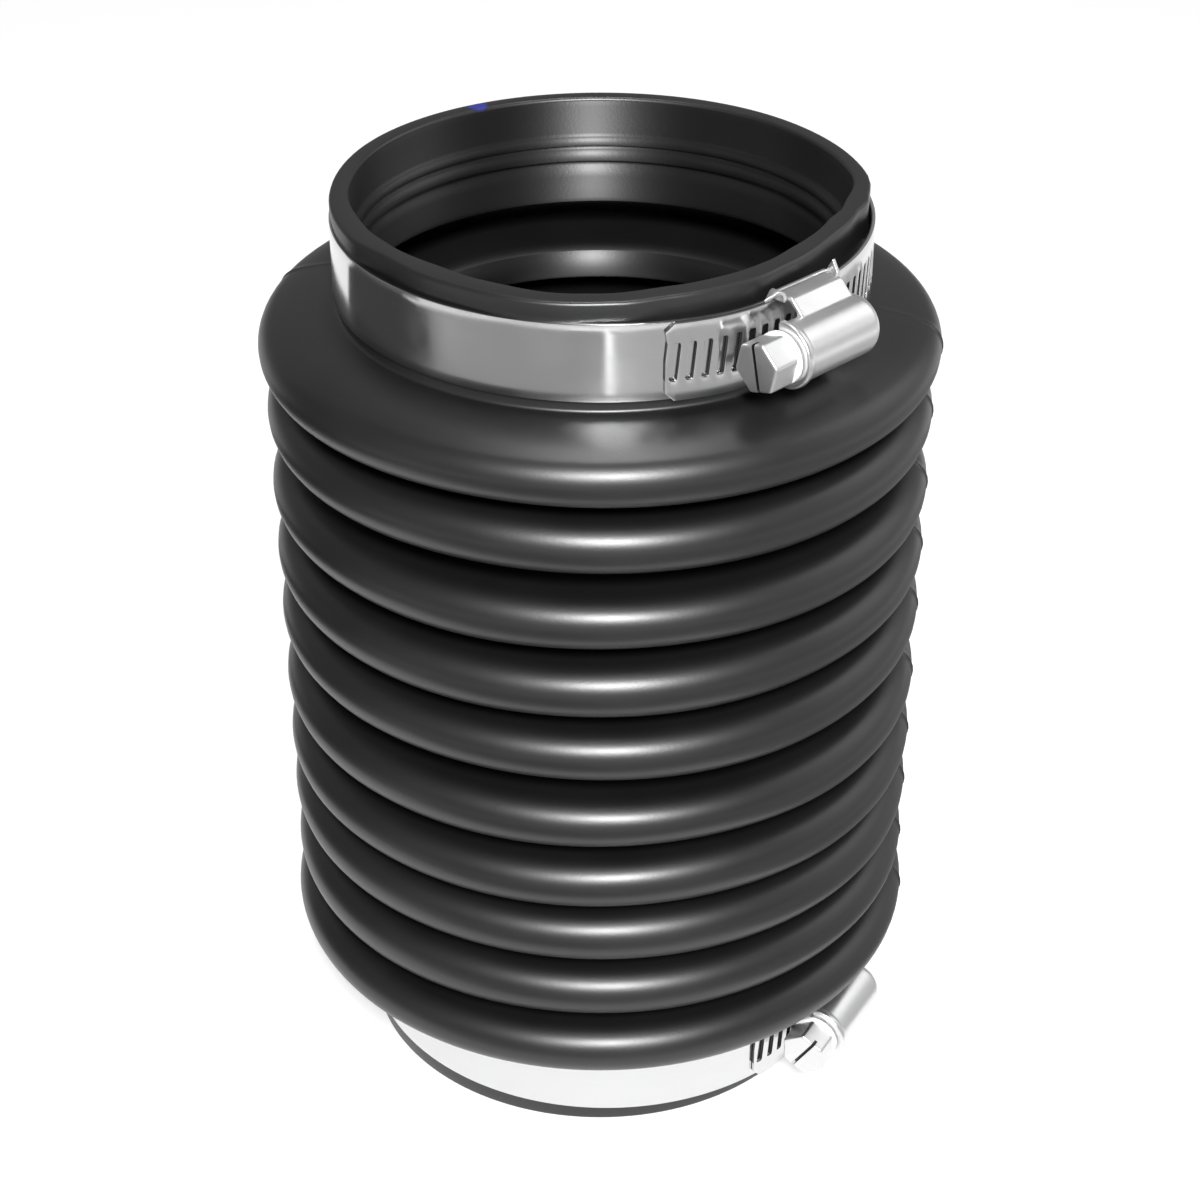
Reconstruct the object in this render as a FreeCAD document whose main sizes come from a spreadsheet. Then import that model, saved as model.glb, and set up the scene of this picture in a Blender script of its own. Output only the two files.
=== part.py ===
import FreeCAD
import Part
import Sketcher
import math
import os

# Rubber bellows boot with a worm drive clamp round each cuff.
# Millimetres. The boot stands on its lower rim, the origin is the centre of that rim,
# Z is the boot's axis and the front is towards -Y.

doc = FreeCAD.newDocument("bellows_boot")
sheet = doc.addObject("Spreadsheet::Sheet", "Sizes")

SIZES = [
    # the boot
    ("boot_height", 160.0),
    ("cuff_inner_diameter", 80.0),
    ("cuff_wall", 3.0),
    ("cuff_length", 17.9),
    ("rim_rounding", 0.5),
    ("bead_depth", 7.0),
    ("bead_width", 2.1),
    ("bead_spacing", 2.4),
    ("bead_rise", 0.8),
    ("bead_root", 0.6),
    ("fold_count", 10),
    ("shoulder_drop", 7.2),
    ("fold_outer_diameter", 110.5),
    ("end_fold_outer_diameter", 112.0),
    ("fold_root_diameter", 79.0),
    ("crest_radius", 4.4),
    ("fold_wall", 2.0),
    # the band, one strip whose slotted tail laps over its own start
    ("band_width", 12.7),
    ("band_thickness", 0.65),
    ("lap_clearance", 0.1),
    ("flat_half_length", 6.2),
    ("flat_drop", 1.3),
    ("base_end", 5.4),
    ("tail_chamfer", 1.4),
    ("slot_first", 1.5),
    ("slot_pitch", 2.5),
    ("slot_length", 6.1),
    ("slot_width", 1.0),
    ("slot_count", 27),
    # the screw
    ("worm_crest_diameter", 7.8),
    ("worm_root_diameter", 5.6),
    ("worm_crest_land", 0.7),
    ("worm_flank_run", 0.35),
    ("worm_sink", 0.28),
    ("worm_start", 8.2),
    ("worm_length", 14.0),
    ("worm_clearance", 0.35),
    ("pilot_diameter", 3.6),
    ("pilot_length", 0.5),
    ("neck_diameter", 4.6),
    ("collar_diameter", 8.3),
    ("collar_thickness", 0.9),
    ("collar_gap", 0.25),
    ("head_length", 4.9),
    ("hex_across_flats", 7.7),
    ("hex_corner_diameter", 8.4),
    ("hex_face_bevel", 0.6),
    ("driver_slot_width", 0.9),
    ("driver_slot_depth", 1.5),
    ("slot_turn", 0.0),
    # the housing, pressed from sheet
    ("bore_clearance", 0.15),
    ("housing_wall", 0.8),
    ("barrel_front", 9.7),
    ("barrel_back", 8.0),
    ("barrel_skirt", 1.2),
    ("barrel_end_wall", 1.5),
    ("barrel_end_rounding", 2.3),
    ("front_wall", 0.7),
    ("neck_clearance", 0.2),
    ("lip_rise", 0.45),
    ("lip_length", 1.4),
    ("lip_rounding", 0.4),
    ("flange_length", 11.3),
    ("flange_wall", 0.75),
    ("slope_wall", 1.1),
    ("flange_rounding", 1.0),
    ("valley_rounding", 1.0),
    ("edge_clearance", 0.1),
    ("tail_clearance", 0.08),
    # the saddle under the housing
    ("saddle_thickness", 0.6),
    ("saddle_clearance", 0.03),
    ("tab_gap", 0.1),
    ("tab_reach", 2.5),
    ("tab_rise", 2.1),
    ("seat_clearance", 0.1),
    # where each clamp sits
    ("upper_clamp_azimuth", 44.5),
    ("upper_edge_distance", 3.1),
    ("upper_band_clearance", 0.2),
    ("upper_band_shift", 0.45),
    ("upper_tail_run", 6.8),
    ("lower_clamp_azimuth", 60.5),
    ("lower_edge_distance", 4.7),
    ("lower_band_clearance", 0.3),
    ("lower_band_shift", 1.3),
    ("lower_tail_run", 0.9),
]
for row, (alias, number) in enumerate(SIZES, start=1):
    sheet.set("A%d" % row, alias)
    sheet.set("B%d" % row, str(number))
    sheet.setAlias("B%d" % row, alias)
doc.recompute()


def size(alias):
    return float(sheet.get(alias))


def bind(item, **expressions):
    """Sets properties of an object by expressions over the sheet's cells."""
    for name, expression in expressions.items():
        item.setExpression(name, expression)


def cells(text):
    """Writes the sheet's name before each alias in an expression."""
    words = {alias for alias, _ in SIZES}
    out = ""
    word = ""
    for letter in text + " ":
        if letter.isalnum() or letter == "_":
            word += letter
            continue
        out += "Sizes." + word if word in words else word
        out += letter
        word = ""
    return out.strip()


def origin_plane(body, role):
    for feature in body.Origin.OriginFeatures:
        if feature.Role == role:
            return feature
    raise ValueError(role)


def new_sketch(body, name, role):
    sketch = body.newObject("Sketcher::SketchObject", name)
    sketch.AttachmentSupport = [(origin_plane(body, role), "")]
    sketch.MapMode = "FlatFace"
    return sketch


def point(x, y):
    return FreeCAD.Vector(x, y, 0)


def dimension(sketch, kind, geometry, vertex, text):
    """One coordinate of a sketch point, or the radius of an arc, bound to an expression."""
    if kind == "Radius":
        arc = sketch.Geometry[geometry]
        index = sketch.addConstraint(Sketcher.Constraint(kind, geometry, arc.Radius))
    else:
        place = sketch.getPoint(geometry, vertex)
        reach = place.x if kind == "DistanceX" else place.y
        index = sketch.addConstraint(Sketcher.Constraint(kind, geometry, vertex, reach))
    sketch.setExpression("Constraints[%d]" % index, cells(text))


def join(sketch, first, first_vertex, second, second_vertex):
    sketch.addConstraint(Sketcher.Constraint("Coincident", first, first_vertex, second, second_vertex))


START, END, MIDDLE = range(1, 4)


def add_arc(sketch, centre, radius, degrees_from, degrees_to, texts):
    """A counterclockwise arc whose centre and radius are bound to three expressions."""
    circle = Part.Circle(point(*centre), FreeCAD.Vector(0, 0, 1), radius)
    arc = Part.ArcOfCircle(circle, math.radians(degrees_from), math.radians(degrees_to))
    index = sketch.addGeometry(arc, False)
    dimension(sketch, "DistanceX", index, MIDDLE, texts[0])
    dimension(sketch, "DistanceY", index, MIDDLE, texts[1])
    dimension(sketch, "Radius", index, None, texts[2])
    return index


def add_line(sketch, first, second):
    return sketch.addGeometry(Part.LineSegment(point(*first), point(*second)), False)


def place_point(sketch, geometry, vertex, text_x, text_y):
    dimension(sketch, "DistanceX", geometry, vertex, text_x)
    dimension(sketch, "DistanceY", geometry, vertex, text_y)


def quarter(sketch, arc, start_axis, end_axis):
    """Keeps an arc's ends level with its centre (Horizontal) or straight above it (Vertical)."""
    sketch.addConstraint(Sketcher.Constraint(start_axis, arc, START, arc, MIDDLE))
    sketch.addConstraint(Sketcher.Constraint(end_axis, arc, END, arc, MIDDLE))


def revolve(body, sketch, name):
    feature = body.newObject("PartDesign::Revolution", name)
    feature.Profile = sketch
    feature.ReferenceAxis = (sketch, ["V_Axis"])
    feature.Angle = 360
    doc.recompute()
    return feature


# The boot: eight middle folds, an end with cuff, shoulder and outermost fold, and its mirror image.

boot_body = doc.addObject("PartDesign::Body", "BootMoulding")

crest = size("crest_radius")
wall = size("fold_wall")
cuff_reach = size("cuff_inner_diameter") / 2 + size("cuff_wall")
folded_length = size("boot_height") - 2 * size("cuff_length") - 2 * size("shoulder_drop")
pitch = folded_length / (size("fold_count") - 1)
CUFF_REACH = "(cuff_inner_diameter / 2 + cuff_wall)"
PITCH = "((boot_height - 2 * cuff_length - 2 * shoulder_drop) / (fold_count - 1))"
crest_centre = size("fold_outer_diameter") / 2 - crest
root_bend = pitch / 2 - crest
root_centre = size("fold_root_diameter") / 2 + root_bend
ROOT_BEND = PITCH + " / 2 - crest_radius"
ROOT_X = "fold_root_diameter / 2 + " + ROOT_BEND
CREST_X = "fold_outer_diameter / 2 - crest_radius"
FIRST_FOLD = "-(fold_count - 3) / 2 * " + PITCH
first_fold = -(size("fold_count") - 3) / 2 * pitch


def fold_profile(sketch, level, level_text):
    """One U-shaped fold of even wall, from the middle of one root to the middle of the next."""
    low = level - pitch / 2
    high = level + pitch / 2
    low_text = level_text + " - " + PITCH + " / 2"
    high_text = level_text + " + " + PITCH + " / 2"
    inner_bend = root_bend + wall
    arcs = []
    for bend, reach, text_bend, text_reach in (
            (root_bend, crest, ROOT_BEND, "crest_radius"),
            (inner_bend, crest - wall, ROOT_BEND + " + fold_wall", "crest_radius - fold_wall")):
        lower = add_arc(sketch, (root_centre, low), bend, 90, 180, (ROOT_X, low_text, text_bend))
        quarter(sketch, lower, "Vertical", "Horizontal")
        outer = add_arc(sketch, (crest_centre, level), reach, -90, 90, (CREST_X, level_text, text_reach))
        quarter(sketch, outer, "Vertical", "Vertical")
        upper = add_arc(sketch, (root_centre, high), bend, 180, 270, (ROOT_X, high_text, text_bend))
        quarter(sketch, upper, "Horizontal", "Vertical")
        under = add_line(sketch, (root_centre, level - reach), (crest_centre, level - reach))
        join(sketch, under, START, lower, START)
        join(sketch, under, END, outer, START)
        over = add_line(sketch, (crest_centre, level + reach), (root_centre, level + reach))
        join(sketch, over, START, outer, END)
        join(sketch, over, END, upper, END)
        arcs.append((lower, upper))
    for side, level_cut, vertex in ((0, low, END), (1, high, START)):
        cut = add_line(sketch, (root_centre - root_bend, level_cut), (root_centre - inner_bend, level_cut))
        join(sketch, cut, START, arcs[0][side], vertex)
        join(sketch, cut, END, arcs[1][side], vertex)


fold_sketch = new_sketch(boot_body, "FoldProfile", "XZ_Plane")
fold_profile(fold_sketch, first_fold, FIRST_FOLD)
fold = revolve(boot_body, fold_sketch, "Fold")

folds = boot_body.newObject("PartDesign::LinearPattern", "MiddleFolds")
folds.Originals = [fold]
folds.Direction = (fold_sketch, ["V_Axis"])
bind(folds, Length=cells("(fold_count - 3) * " + PITCH), Occurrences=cells("fold_count - 2"))
boot_body.Tip = folds
doc.recompute()


def end_profile(sketch):
    """Cuff wall, sloping shoulder and outermost fold, down to the middle of the first root."""
    top = size("boot_height") / 2
    outer = cuff_reach
    inner = size("cuff_inner_diameter") / 2
    base = top - size("cuff_length")
    end_level = base - size("shoulder_drop")
    end_crest = size("end_fold_outer_diameter") / 2 - crest
    low = end_level - pitch / 2
    toward = math.atan2(end_level - base, end_crest - outer)
    reach = math.hypot(end_level - base, end_crest - outer)
    slope = toward + math.asin(crest / reach)
    touch = math.degrees(slope) + 90
    run_x, run_y = math.cos(slope), math.sin(slope)
    inner_start_x = outer + wall * run_y
    inner_start_y = base - wall * run_x
    inner_base = inner_start_y - (inner_start_x - inner) * run_y / run_x

    level_text = "boot_height / 2 - cuff_length - shoulder_drop"
    crest_text = "end_fold_outer_diameter / 2 - crest_radius"
    low_text = level_text + " - " + PITCH + " / 2"
    top_text = "boot_height / 2"
    crest_arc = add_arc(sketch, (end_crest, end_level), crest, -90, touch,
                        (crest_text, level_text, "crest_radius"))
    sketch.addConstraint(Sketcher.Constraint("Vertical", crest_arc, START, crest_arc, MIDDLE))
    inner_arc = add_arc(sketch, (end_crest, end_level), crest - wall, -90, touch,
                        (crest_text, level_text, "crest_radius - fold_wall"))
    sketch.addConstraint(Sketcher.Constraint("Vertical", inner_arc, START, inner_arc, MIDDLE))
    root_arc = add_arc(sketch, (root_centre, low), root_bend, 90, 180, (ROOT_X, low_text, ROOT_BEND))
    quarter(sketch, root_arc, "Vertical", "Horizontal")
    inner_root = add_arc(sketch, (root_centre, low), root_bend + wall, 90, 180,
                         (ROOT_X, low_text, ROOT_BEND + " + fold_wall"))
    quarter(sketch, inner_root, "Vertical", "Horizontal")

    crest_touch = sketch.getPoint(crest_arc, END)
    inner_touch = sketch.getPoint(inner_arc, END)
    shoulder = add_line(sketch, (outer, base), (crest_touch.x, crest_touch.y))
    place_point(sketch, shoulder, START, CUFF_REACH, top_text + " - cuff_length")
    sketch.addConstraint(Sketcher.Constraint("Tangent", shoulder, END, crest_arc, END))
    lining = add_line(sketch, (inner, inner_base), (inner_touch.x, inner_touch.y))
    sketch.addConstraint(Sketcher.Constraint("Tangent", lining, END, inner_arc, END))
    sketch.addConstraint(Sketcher.Constraint("Parallel", lining, shoulder))
    dimension(sketch, "DistanceX", lining, START, "cuff_inner_diameter / 2")

    outside = add_line(sketch, (outer, top), (outer, base))
    place_point(sketch, outside, START, CUFF_REACH, top_text)
    join(sketch, outside, END, shoulder, START)
    rim = add_line(sketch, (inner, top), (outer, top))
    place_point(sketch, rim, START, "cuff_inner_diameter / 2", top_text)
    join(sketch, rim, END, outside, START)
    inside = add_line(sketch, (inner, top), (inner, inner_base))
    join(sketch, inside, START, rim, START)
    join(sketch, inside, END, lining, START)
    under = add_line(sketch, (end_crest, end_level - crest), (root_centre, end_level - crest))
    join(sketch, under, START, crest_arc, START)
    join(sketch, under, END, root_arc, START)
    over = add_line(sketch, (end_crest, end_level - crest + wall), (root_centre, end_level - crest + wall))
    join(sketch, over, START, inner_arc, START)
    join(sketch, over, END, inner_root, START)
    cut = add_line(sketch, (root_centre - root_bend, low), (root_centre - root_bend - wall, low))
    join(sketch, cut, START, root_arc, END)
    join(sketch, cut, END, inner_root, END)


end_sketch = new_sketch(boot_body, "EndProfile", "XZ_Plane")
end_profile(end_sketch)
boot_end = revolve(boot_body, end_sketch, "UpperEnd")

# Two sealing beads run round the inside of the cuff.

bead_sketch = new_sketch(boot_body, "BeadProfile", "XZ_Plane")
bead_radius = (size("bead_width") ** 2 / 4 + size("bead_rise") ** 2) / (2 * size("bead_rise"))
BEAD_RADIUS = "(bead_width * bead_width / 4 + bead_rise * bead_rise) / (2 * bead_rise)"
bead_half_angle = math.degrees(math.asin(size("bead_width") / 2 / bead_radius))
bead_crown = size("cuff_inner_diameter") / 2 - size("bead_rise")
BEAD_CENTRE_X = "cuff_inner_diameter / 2 - bead_rise + " + BEAD_RADIUS
for number in range(2):
    bead_level = (size("boot_height") / 2 - size("bead_depth") - size("bead_width") / 2
                  - number * size("bead_spacing"))
    level_text = "boot_height / 2 - bead_depth - bead_width / 2 - %d * bead_spacing" % number
    crown = add_arc(bead_sketch, (bead_crown + bead_radius, bead_level), bead_radius,
                    180 - bead_half_angle, 180 + bead_half_angle, (BEAD_CENTRE_X, level_text, BEAD_RADIUS))
    dimension(bead_sketch, "DistanceX", crown, START, "cuff_inner_diameter / 2")
    dimension(bead_sketch, "DistanceX", crown, END, "cuff_inner_diameter / 2")
    high = bead_level + size("bead_width") / 2
    low = bead_level - size("bead_width") / 2
    wall_x = size("cuff_inner_diameter") / 2
    root_x = wall_x + size("bead_root")
    upper_side = add_line(bead_sketch, (wall_x, high), (root_x, high))
    join(bead_sketch, upper_side, START, crown, START)
    bead_sketch.addConstraint(Sketcher.Constraint("Horizontal", upper_side))
    dimension(bead_sketch, "DistanceX", upper_side, END, "cuff_inner_diameter / 2 + bead_root")
    lower_side = add_line(bead_sketch, (wall_x, low), (root_x, low))
    join(bead_sketch, lower_side, START, crown, END)
    bead_sketch.addConstraint(Sketcher.Constraint("Horizontal", lower_side))
    root_side = add_line(bead_sketch, (root_x, high), (root_x, low))
    join(bead_sketch, root_side, START, upper_side, END)
    join(bead_sketch, root_side, END, lower_side, END)
    bead_sketch.addConstraint(Sketcher.Constraint("Vertical", root_side))
beads = revolve(boot_body, bead_sketch, "CuffBeads")

lower_end = boot_body.newObject("PartDesign::Mirrored", "LowerEnd")
lower_end.Originals = [boot_end, beads]
lower_end.MirrorPlane = (origin_plane(boot_body, "XY_Plane"), [""])
boot_body.Tip = lower_end
doc.recompute()


MATCH = 0.01


def circle_edges(shape, levels, radii):
    """Names of the full circles about Z that lie at one of the levels with one of the radii."""
    names = []
    for number, edge in enumerate(shape.Edges, start=1):
        if not isinstance(edge.Curve, Part.Circle):
            continue
        level_found = any(abs(edge.Curve.Center.z - level) < MATCH for level in levels)
        radius_found = any(abs(edge.Curve.Radius - radius) < MATCH for radius in radii)
        if level_found and radius_found:
            names.append("Edge%d" % number)
    return names


rim_fillet = boot_body.newObject("PartDesign::Fillet", "RimRounding")
rim_levels = (-size("boot_height") / 2, size("boot_height") / 2)
rim_radii = (cuff_reach, size("cuff_inner_diameter") / 2)
rim_fillet.Base = (lower_end, circle_edges(lower_end.Shape, rim_levels, rim_radii))
bind(rim_fillet, Radius=cells("rim_rounding"))
boot_body.Tip = rim_fillet
boot_body.Placement = FreeCAD.Placement(FreeCAD.Vector(0, 0, size("boot_height") / 2), FreeCAD.Rotation())
boot_body.setExpression("Placement.Base.z", cells("boot_height / 2"))
doc.recompute()

# Each clamp is worked out in a frame of its own: X runs along the screw, -Y points out of the boot
# at the housing, and the origin is the centre of the band's circle. It is then shifted towards the
# housing, turned to its azimuth and raised to its cuff.

strip = size("band_thickness")
lap = strip + size("lap_clearance")
flat_end = size("flat_half_length")
half_band = size("band_width") / 2
worm_crest = size("worm_crest_diameter") / 2


class Clamp:
    """The sizes of one clamp that follow from the cuff that it sits on."""

    def __init__(self, side):
        self.side = side
        self.shift = size(side + "_band_shift")
        self.radius = cuff_reach + size(side + "_band_clearance") + self.shift
        self.flat = self.radius - size("flat_drop")
        self.axis = self.flat + lap + strip + size("worm_clearance") + worm_crest
        self.azimuth = size(side + "_clamp_azimuth")
        edge = size(side + "_edge_distance")
        if side == "upper":
            self.level = size("boot_height") - edge - half_band
            self.rim_side = 1
        else:
            self.level = edge + half_band
            self.rim_side = -1
        self.tail_run = size(side + "_tail_run")

    def bend(self, level):
        """Radius of the arc that leads from a flat at this level into the band's circle."""
        return (self.radius ** 2 - flat_end ** 2 - level ** 2) / (2 * (self.radius - level))

    def placement(self, out):
        """The frame of a piece whose own origin lies out from the centre of the band's circle."""
        turn = FreeCAD.Rotation(FreeCAD.Vector(0, 0, 1), self.azimuth)
        base = turn.multVec(FreeCAD.Vector(0, -(out + self.shift), 0))
        return FreeCAD.Placement(base + FreeCAD.Vector(0, 0, self.level), turn)


def polar(centre, radius, degrees):
    """A point of the band's plane: degrees count from the outward direction -Y towards +X."""
    angle = math.radians(degrees)
    return FreeCAD.Vector(centre.x + radius * math.sin(angle), centre.y - radius * math.cos(angle), 0)


def arc_edge(centre, radius, degrees_from, degrees_to):
    middle = (degrees_from + degrees_to) / 2
    ends = [polar(centre, radius, degrees) for degrees in (degrees_from, middle, degrees_to)]
    return Part.Arc(*ends).toShape()


def band_route(clamp):
    """The strip's inner face from its start under the housing round to its free tail.

    Each step is (centre, radius, from, to) for an arc or (None, level, from, to) for a straight
    run along X at that distance out. The tail rises over the start by the lap."""
    hub = FreeCAD.Vector(0, 0, 0)
    blend = clamp.bend(clamp.flat)
    start_blend = FreeCAD.Vector(-flat_end, -(clamp.flat - blend), 0)
    start_turn = -math.degrees(math.atan2(flat_end, clamp.flat - blend))
    raised = clamp.flat + lap
    rise_bend = clamp.bend(raised)
    rise_blend = FreeCAD.Vector(flat_end, -(raised - rise_bend), 0)
    rise_turn = math.degrees(math.atan2(flat_end, raised - rise_bend))
    tail_turn = start_turn - math.degrees(clamp.tail_run / (clamp.radius + lap))
    return [
        (None, clamp.flat, size("base_end"), -flat_end),
        (start_blend, blend, 0, start_turn),
        (hub, clamp.radius, start_turn, rise_turn - 360),
        (rise_blend, rise_bend, rise_turn, 0),
        (None, raised, flat_end, -flat_end),
        (start_blend, blend + lap, 0, start_turn),
        (hub, clamp.radius + lap, start_turn, tail_turn),
    ]


def route_edges(route, offset):
    edges = []
    for centre, reach, first, last in route:
        if centre is None:
            level = -(reach + offset)
            line = Part.LineSegment(FreeCAD.Vector(first, level, 0), FreeCAD.Vector(last, level, 0))
            edges.append(line.toShape())
        else:
            edges.append(arc_edge(centre, reach + offset, first, last))
    return edges


def route_frames(route, lengths):
    """Place and turn of the strip at given lengths back from the free end of its tail."""
    frames = []
    for length in lengths:
        rest = length
        for centre, reach, first, last in reversed(route):
            run = abs(last - first) if centre is None else math.radians(abs(last - first)) * reach
            if rest > run:
                rest -= run
                continue
            if centre is None:
                place = FreeCAD.Vector(last + math.copysign(rest, first - last), -reach, 0)
                turn = 0.0
            else:
                turn = last + math.copysign(math.degrees(rest / reach), first - last)
                place = polar(centre, reach, turn)
            frames.append((place, turn))
            break
    return frames


def band_shape(clamp):
    """A strip on edge round the cuff, with chamfered tail corners and slanted worm slots."""
    route = band_route(clamp)
    inner = route_edges(route, 0)
    outer = route_edges(route, strip)
    caps = []
    for number, end in ((0, 0), (-1, -1)):
        ends = (inner[number].Vertexes[end].Point, outer[number].Vertexes[end].Point)
        caps.append(Part.LineSegment(*ends).toShape())
    outline = Part.Wire(Part.__sortEdges__(inner + outer + caps))
    face = Part.Face(outline)
    face.translate(FreeCAD.Vector(0, 0, -half_band))
    band = face.extrude(FreeCAD.Vector(0, 0, size("band_width")))

    tools = []
    reach_in = size("lap_clearance") / 2
    reach_out = strip + 2 * reach_in
    lead_angle = math.degrees(math.atan2(size("slot_pitch"), math.pi * size("worm_crest_diameter")))
    lengths = [size("slot_first") + number * size("slot_pitch") for number in range(int(size("slot_count")))]
    for place, turn in route_frames(route, lengths):
        half_slot = size("slot_width") / 2
        slot = Part.makeBox(size("slot_width"), reach_in + reach_out, size("slot_length"),
                            FreeCAD.Vector(-half_slot, -reach_out, -size("slot_length") / 2))
        slot.rotate(FreeCAD.Vector(0, 0, 0), FreeCAD.Vector(0, 1, 0), lead_angle)
        slot.rotate(FreeCAD.Vector(0, 0, 0), FreeCAD.Vector(0, 0, 1), turn)
        slot.translate(place)
        tools.append(slot)
    corner = size("tail_chamfer")
    place, turn = route_frames(route, [0])[0]
    for upward in (-1, 1):
        points = [FreeCAD.Vector(-corner, reach_in, upward * half_band),
                  FreeCAD.Vector(corner, reach_in, upward * half_band),
                  FreeCAD.Vector(0, reach_in, upward * (half_band - corner)),
                  FreeCAD.Vector(-corner, reach_in, upward * (half_band - 2 * corner))]
        wedge = Part.Face(Part.makePolygon(points + points[:1]))
        wedge = wedge.extrude(FreeCAD.Vector(0, -(reach_in + reach_out), 0))
        wedge.rotate(FreeCAD.Vector(0, 0, 0), FreeCAD.Vector(0, 0, 1), turn)
        wedge.translate(place)
        tools.append(wedge)
    for tool in tools:
        band = band.cut(tool)
    return band


# The housing's frame has its origin on the screw's axis. Sketches on the YZ plane look along the
# screw: their horizontal axis points into the boot and their vertical axis along the boot.

BORE = "worm_crest_diameter / 2 + bore_clearance"
BARREL = BORE + " + housing_wall"
TAIL_FACE = "worm_crest_diameter / 2 + worm_clearance"
CHANNEL_TOP = TAIL_FACE + " - tail_clearance"
CHANNEL_SIDE = "band_width / 2 + edge_clearance"
FLANGE_SIDE = CHANNEL_SIDE + " + flange_wall"
SLOPE_RUN = FLANGE_SIDE + " - worm_crest_diameter / 2 - bore_clearance - housing_wall"
SADDLE_TOP = TAIL_FACE + " + 2 * band_thickness + lap_clearance + saddle_clearance"


def value(text):
    """The number that an expression over the sheet's cells gives."""
    names = {alias: size(alias) for alias, _ in SIZES}
    total = 0.0
    for term in text.replace(" - ", " + -").split(" + "):
        sign = -1 if term.startswith("-") else 1
        product = 1.0
        divide = False
        for part in term.lstrip("-").split(" "):
            if part in ("*", "/"):
                divide = part == "/"
                continue
            number = names[part] if part in names else float(part)
            product = product / number if divide else product * number
        total += sign * product
    return total


def arch_sketch(body, name, radius_text, depth_text):
    """A round-topped arch over the screw, open towards the band."""
    sketch = new_sketch(body, name, "YZ_Plane")
    radius = value(radius_text)
    depth = value(depth_text)
    arc = add_arc(sketch, (0, 0), radius, 90, 270, ("0", "0", radius_text))
    quarter(sketch, arc, "Vertical", "Vertical")
    upper = add_line(sketch, (0, radius), (depth, radius))
    join(sketch, upper, START, arc, START)
    sketch.addConstraint(Sketcher.Constraint("Horizontal", upper))
    lower = add_line(sketch, (0, -radius), (depth, -radius))
    join(sketch, lower, START, arc, END)
    sketch.addConstraint(Sketcher.Constraint("Horizontal", lower))
    foot = add_line(sketch, (depth, radius), (depth, -radius))
    join(sketch, foot, START, upper, END)
    join(sketch, foot, END, lower, END)
    dimension(sketch, "DistanceX", foot, START, depth_text)
    dimension(sketch, "DistanceX", foot, END, depth_text)
    return sketch


def outline_sketch(body, name, corners):
    """A closed outline, symmetrical up and down. Its upper corners are distances inwards and up."""
    sketch = new_sketch(body, name, "YZ_Plane")
    texts = corners + [(inward, "-(" + up + ")") for inward, up in reversed(corners)]
    places = [(value(inward), value(up)) for inward, up in corners]
    places += [(inward, -up) for inward, up in reversed(places)]
    lines = [add_line(sketch, place, places[number + 1 - len(places)])
             for number, place in enumerate(places)]
    for number, line in enumerate(lines):
        join(sketch, line, END, lines[number + 1 - len(lines)], START)
    for line, (inward, up) in zip(lines, texts):
        place_point(sketch, line, START, inward, up)
    return sketch


def extrude(body, kind, sketch, name, start_text, length_text):
    """A pad or pocket along the screw, from a start to a length further on."""
    sketch.setExpression("AttachmentOffset.Base.z", cells(start_text))
    feature = body.newObject("PartDesign::" + kind, name)
    feature.Profile = sketch
    feature.Type = "Length"
    feature.Reversed = kind == "Pocket"
    bind(feature, Length=cells(length_text))
    doc.recompute()
    return feature


def edges_where(shape, test):
    return ["Edge%d" % number for number, edge in enumerate(shape.Edges, start=1) if test(edge)]


def round_edges(body, name, base, test, alias):
    """Rounds the edges that a test picks, with the radius in a cell of the sheet."""
    fillet = body.newObject("PartDesign::Fillet", name)
    fillet.Base = (base, edges_where(base.Shape, test))
    bind(fillet, Radius=cells(alias))
    body.Tip = fillet
    doc.recompute()
    return fillet


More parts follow.
